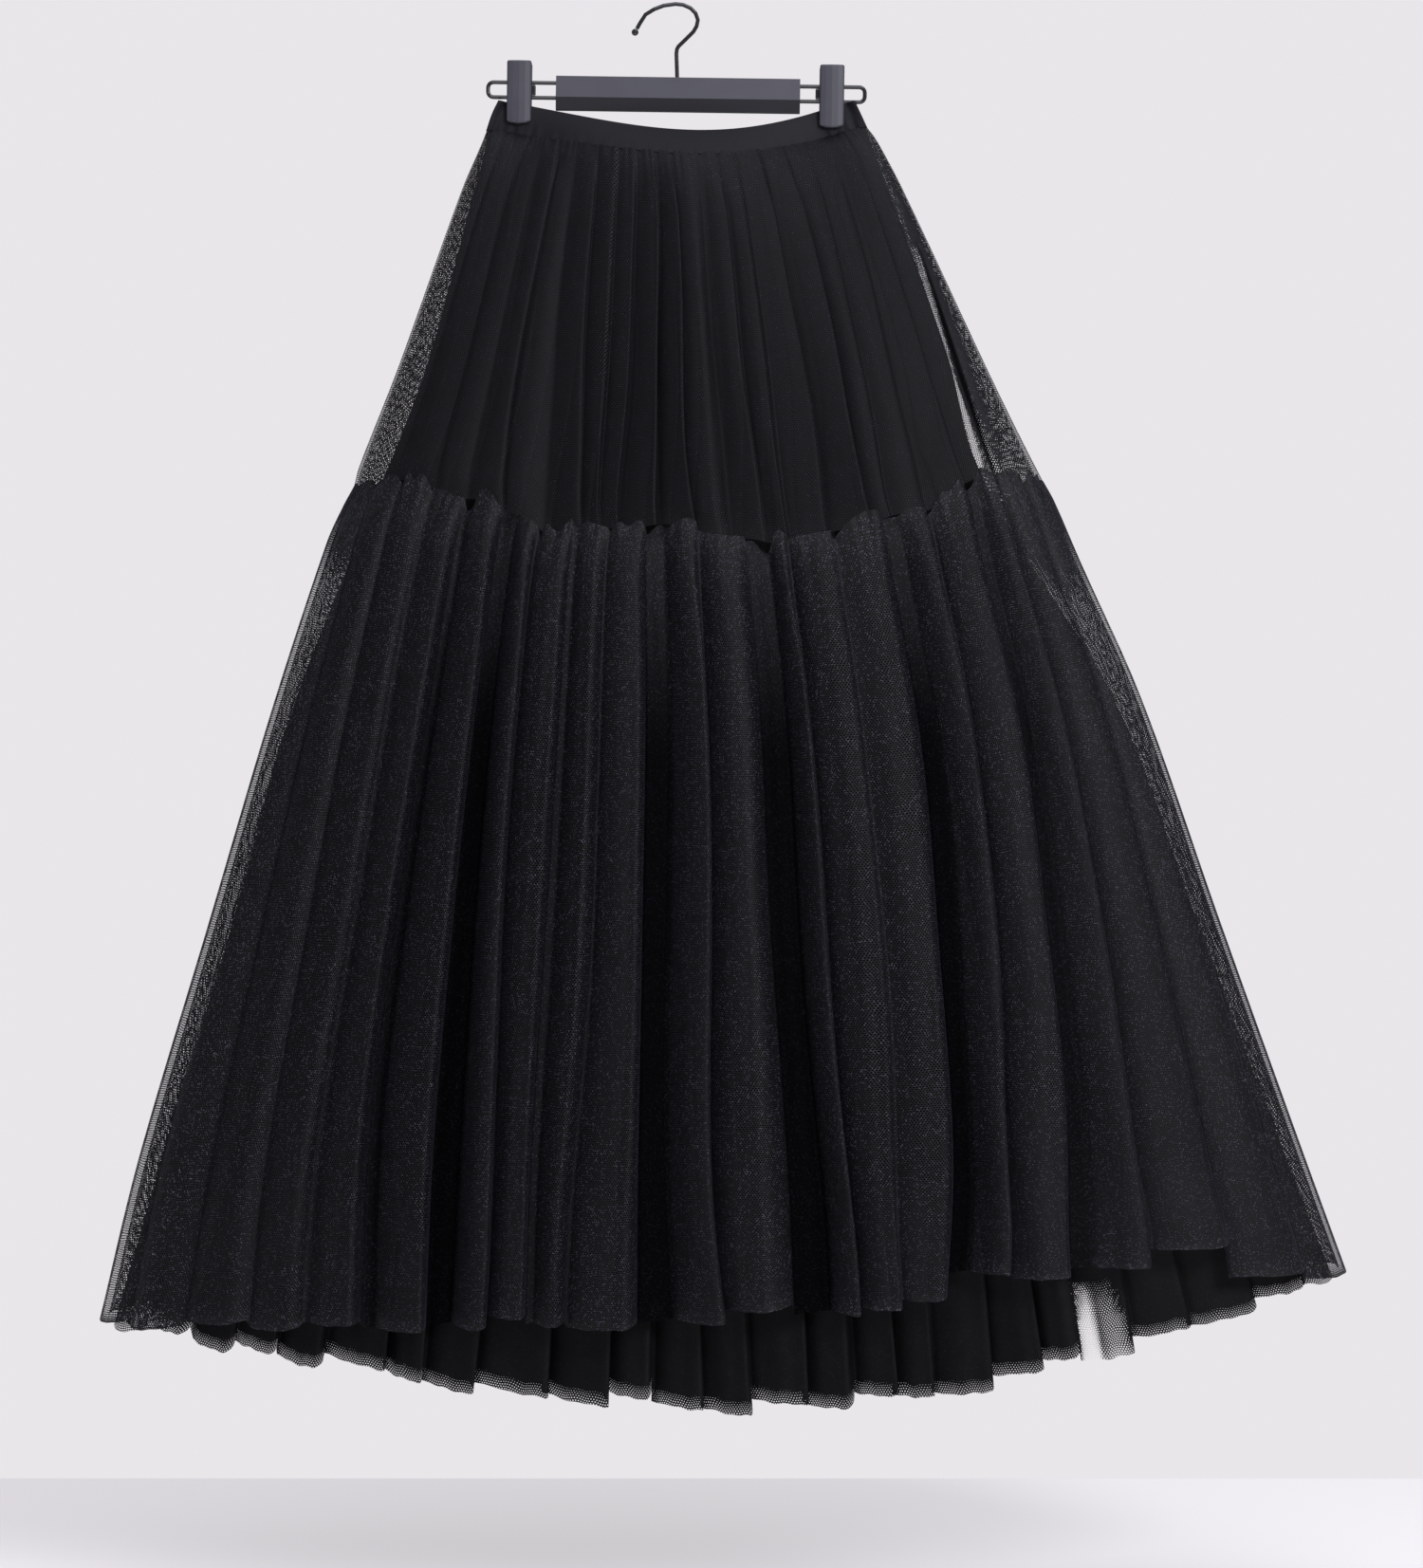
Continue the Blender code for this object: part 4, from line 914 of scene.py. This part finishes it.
def build_band(material):
    """The plain band as one closed loop, puckered a little by the gathers, and its length."""
    shares = -np.cos(np.linspace(0.0, math.pi, BAND_COLUMNS // 2 + 1))
    down = np.linspace(BAND[0].down, BAND[-1].down, BAND_ROWS)
    section = sections_along(BAND, down)
    front = outline(section, shares[None, :], True, eared=True)
    back = outline(section, shares[None, -2:0:-1], False, eared=True)
    points = np.concatenate([front, back], axis=1)
    around = distance_along(points[-1])
    part = down[:, None] / BAND[-1].down
    pucker = sum(height * np.sin(TURN * around / pitch) for height, pitch in PUCKERS)
    roll = BAND_ROLL * np.sin(np.pi * np.clip(part, 0.0, 1.0))
    outward = np.where(np.arange(points.shape[1]) < front.shape[1], -1.0, 1.0)
    points[..., 1] += outward * (smoothstep(PUCKER_START, 1.0, part) * pucker + roll)
    uv = np.stack(np.broadcast_arrays(around, down[:, None]), -1)
    band = sheet_object("waistband_cloth", points, uv, {}, closed=True)
    wall = band.modifiers.new("Wall", "SOLIDIFY")
    wall.thickness = BAND_THICKNESS
    wall.offset = 0.0
    band.data.materials.append(material)
    return band, float(around[-1])


def deselect_all():
    """Deselects everything, because an operator acts on all that is selected."""
    for obj in bpy.context.selected_objects:
        obj.select_set(False)


def smooth_node(name, angle):
    """Shades a hanger node smooth, apart from its edges above this angle."""
    deselect_all()
    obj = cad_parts[name]
    obj.select_set(True)
    bpy.context.view_layer.objects.active = obj
    bpy.ops.object.shade_smooth_by_angle(angle=math.radians(angle))
    obj.select_set(False)


def add_area_light(name, place, target, size, energy, colour):
    """A round area light at its place, turned to its target."""
    light = bpy.data.lights.new(name, "AREA")
    light.shape = "DISK"
    light.size = size
    light.energy = energy
    light.color = linear(colour)[:3]
    obj = bpy.data.objects.new(name, light)
    obj.location = place
    obj.rotation_euler = (Vector(target) - Vector(place)).to_track_quat("-Z", "Y").to_euler()
    bpy.context.scene.collection.objects.link(obj)


FLOOR_PLACE = (0.03, -0.62, -1.16)
FLOOR_SIZE = (3.4, 2.1, 1.0)
# The camera looks level at the photo's middle, from 3 m in front of the hanger.
CAMERA_PLACE = (0.0266, -3.0, -0.57407)
CAMERA_LENS = 93.34
CAMERA_SENSOR = 36.0


def build_stage():
    """The floor, the backdrop, a large key light at the right and a soft light from the top."""
    deselect_all()
    bpy.ops.mesh.primitive_plane_add(size=1.0, location=FLOOR_PLACE)
    floor = bpy.context.object
    floor.name = "floor"
    floor.scale = FLOOR_SIZE
    floor.data.materials.append(floor_material())
    # The backdrop is bright where it is seen, and soft as a light, so that folds keep their depth.
    world = bpy.data.worlds.new("studio")
    world.use_nodes = True
    tree = world.node_tree
    seen = add_node(tree, "ShaderNodeLightPath").outputs["Is Camera Ray"]
    strength = add_node(
        tree, "ShaderNodeMapRange", {"Value": seen, "To Min": 0.34, "To Max": 1.0}
    ).outputs["Result"]
    background = tree.nodes["Background"]
    background.inputs["Color"].default_value = linear("#e9e6ea")
    tree.links.new(strength, background.inputs["Strength"])
    bpy.context.scene.world = world
    bpy.context.scene.view_settings.view_transform = "Standard"
    add_area_light("key", (1.4, -2.7, 0.75), (0.1, -0.1, -0.55), 1.1, 50.0, "#f8f8ff")
    add_area_light("top", (0.3, -0.8, 1.3), (0.0, -0.2, -0.8), 1.6, 12.0, "#f6f6ff")


def build_camera():
    camera = bpy.data.cameras.new("camera")
    camera.lens = CAMERA_LENS
    camera.sensor_width = CAMERA_SENSOR
    obj = bpy.data.objects.new("camera", camera)
    obj.location = CAMERA_PLACE
    obj.rotation_euler = (math.radians(90.0), 0.0, 0.0)
    bpy.context.scene.collection.objects.link(obj)
    bpy.context.scene.camera = obj


# Edges of the hanger's nodes above these angles, in degrees, stay sharp.
WIRE_SHARP_ANGLE = 50
PLASTIC_SHARP_ANGLE = 32
# A face of the bar looks down where its normal falls at least this far, and it belongs to an
# end where its normal turns this far to the side. Downward faces that are not ends get the
# painted shade.
BAR_DOWNWARD = -0.2
BAR_ENDWARD = 0.5


def dress_panels(cloths):
    """Every gathered panel as one sheet in its layer's cloth."""
    for panel in PANELS:
        layer = panel.name.rsplit("_", 1)[0]
        lined = layer == "lining"
        points, uv, values = panel_sheet(panel)
        sheet = sheet_object(f"{panel.name}_cloth", points, uv, {} if lined else values)
        sheet.data.materials.append(cloths[layer])
        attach(sheet, "root")
        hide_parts(panel.name)


def dress_waistband():
    """The band that the panels are gathered to, held by the clips."""
    waistband, length = build_band(band_material())
    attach(waistband, "root")
    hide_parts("waistband")


def dress_hanger():
    """The hanger's own nodes: wire for the hook, the loop and the springs, plastic for the rest."""
    plastic = plastic_material("charcoal_moulded_plastic", "#42424b", "#4d4d57")
    # A darker copy of the plastic, as painted shade on the bar's downward faces.
    painted_shade_plastic = plastic_material("charcoal_moulded_plastic_lower_face", "#17171e", "#1e1e27")
    wire = wire_material()
    for name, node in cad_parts.items():
        if not name.startswith(("hanger", "clip")):
            continue
        metal = "hook" in name or "wire" in name or "spring" in name
        node.data.materials.clear()
        node.data.materials.append(wire if metal else plastic)
        smooth_node(name, WIRE_SHARP_ANGLE if metal else PLASTIC_SHARP_ANGLE)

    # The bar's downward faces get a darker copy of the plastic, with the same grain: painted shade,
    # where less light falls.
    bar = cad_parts["hanger_bar"]
    bar.data.materials.append(painted_shade_plastic)
    for face in bar.data.polygons:
        turned = bar.matrix_world.to_3x3() @ face.normal
        if turned.z < BAR_DOWNWARD and abs(turned.x) < BAR_ENDWARD:
            face.material_index = 1


def main():
    # The upper tier is smoother to the eye, with fewer painted glints. The lower tier's own fullness gets
    # more painted glints. The inner net is darker for its several thicknesses, and its darker colour and
    # lower gloss are also painted shade from the outer net.
    upper = tulle_material("black_nylon_tulle_upper", "#0f0f14", "#302f3a", painted_glint_share=0.016, sheen=0.05)
    lower = tulle_material("black_nylon_tulle_lower", "#0c0c10", "#4a4956", painted_glint_share=0.036, sheen=0.05)
    inner = tulle_material(
        "black_nylon_tulle_inner", "#070709", "#16161c", painted_glint_share=0.02, sheen=0.01, gloss=0.12
    )
    lining = lining_material()
    dress_panels({"upper_tier": upper, "lower_tier": lower, "under_layer": inner, "lining": lining})
    dress_waistband()
    dress_hanger()
    build_stage()
    build_camera()


main()
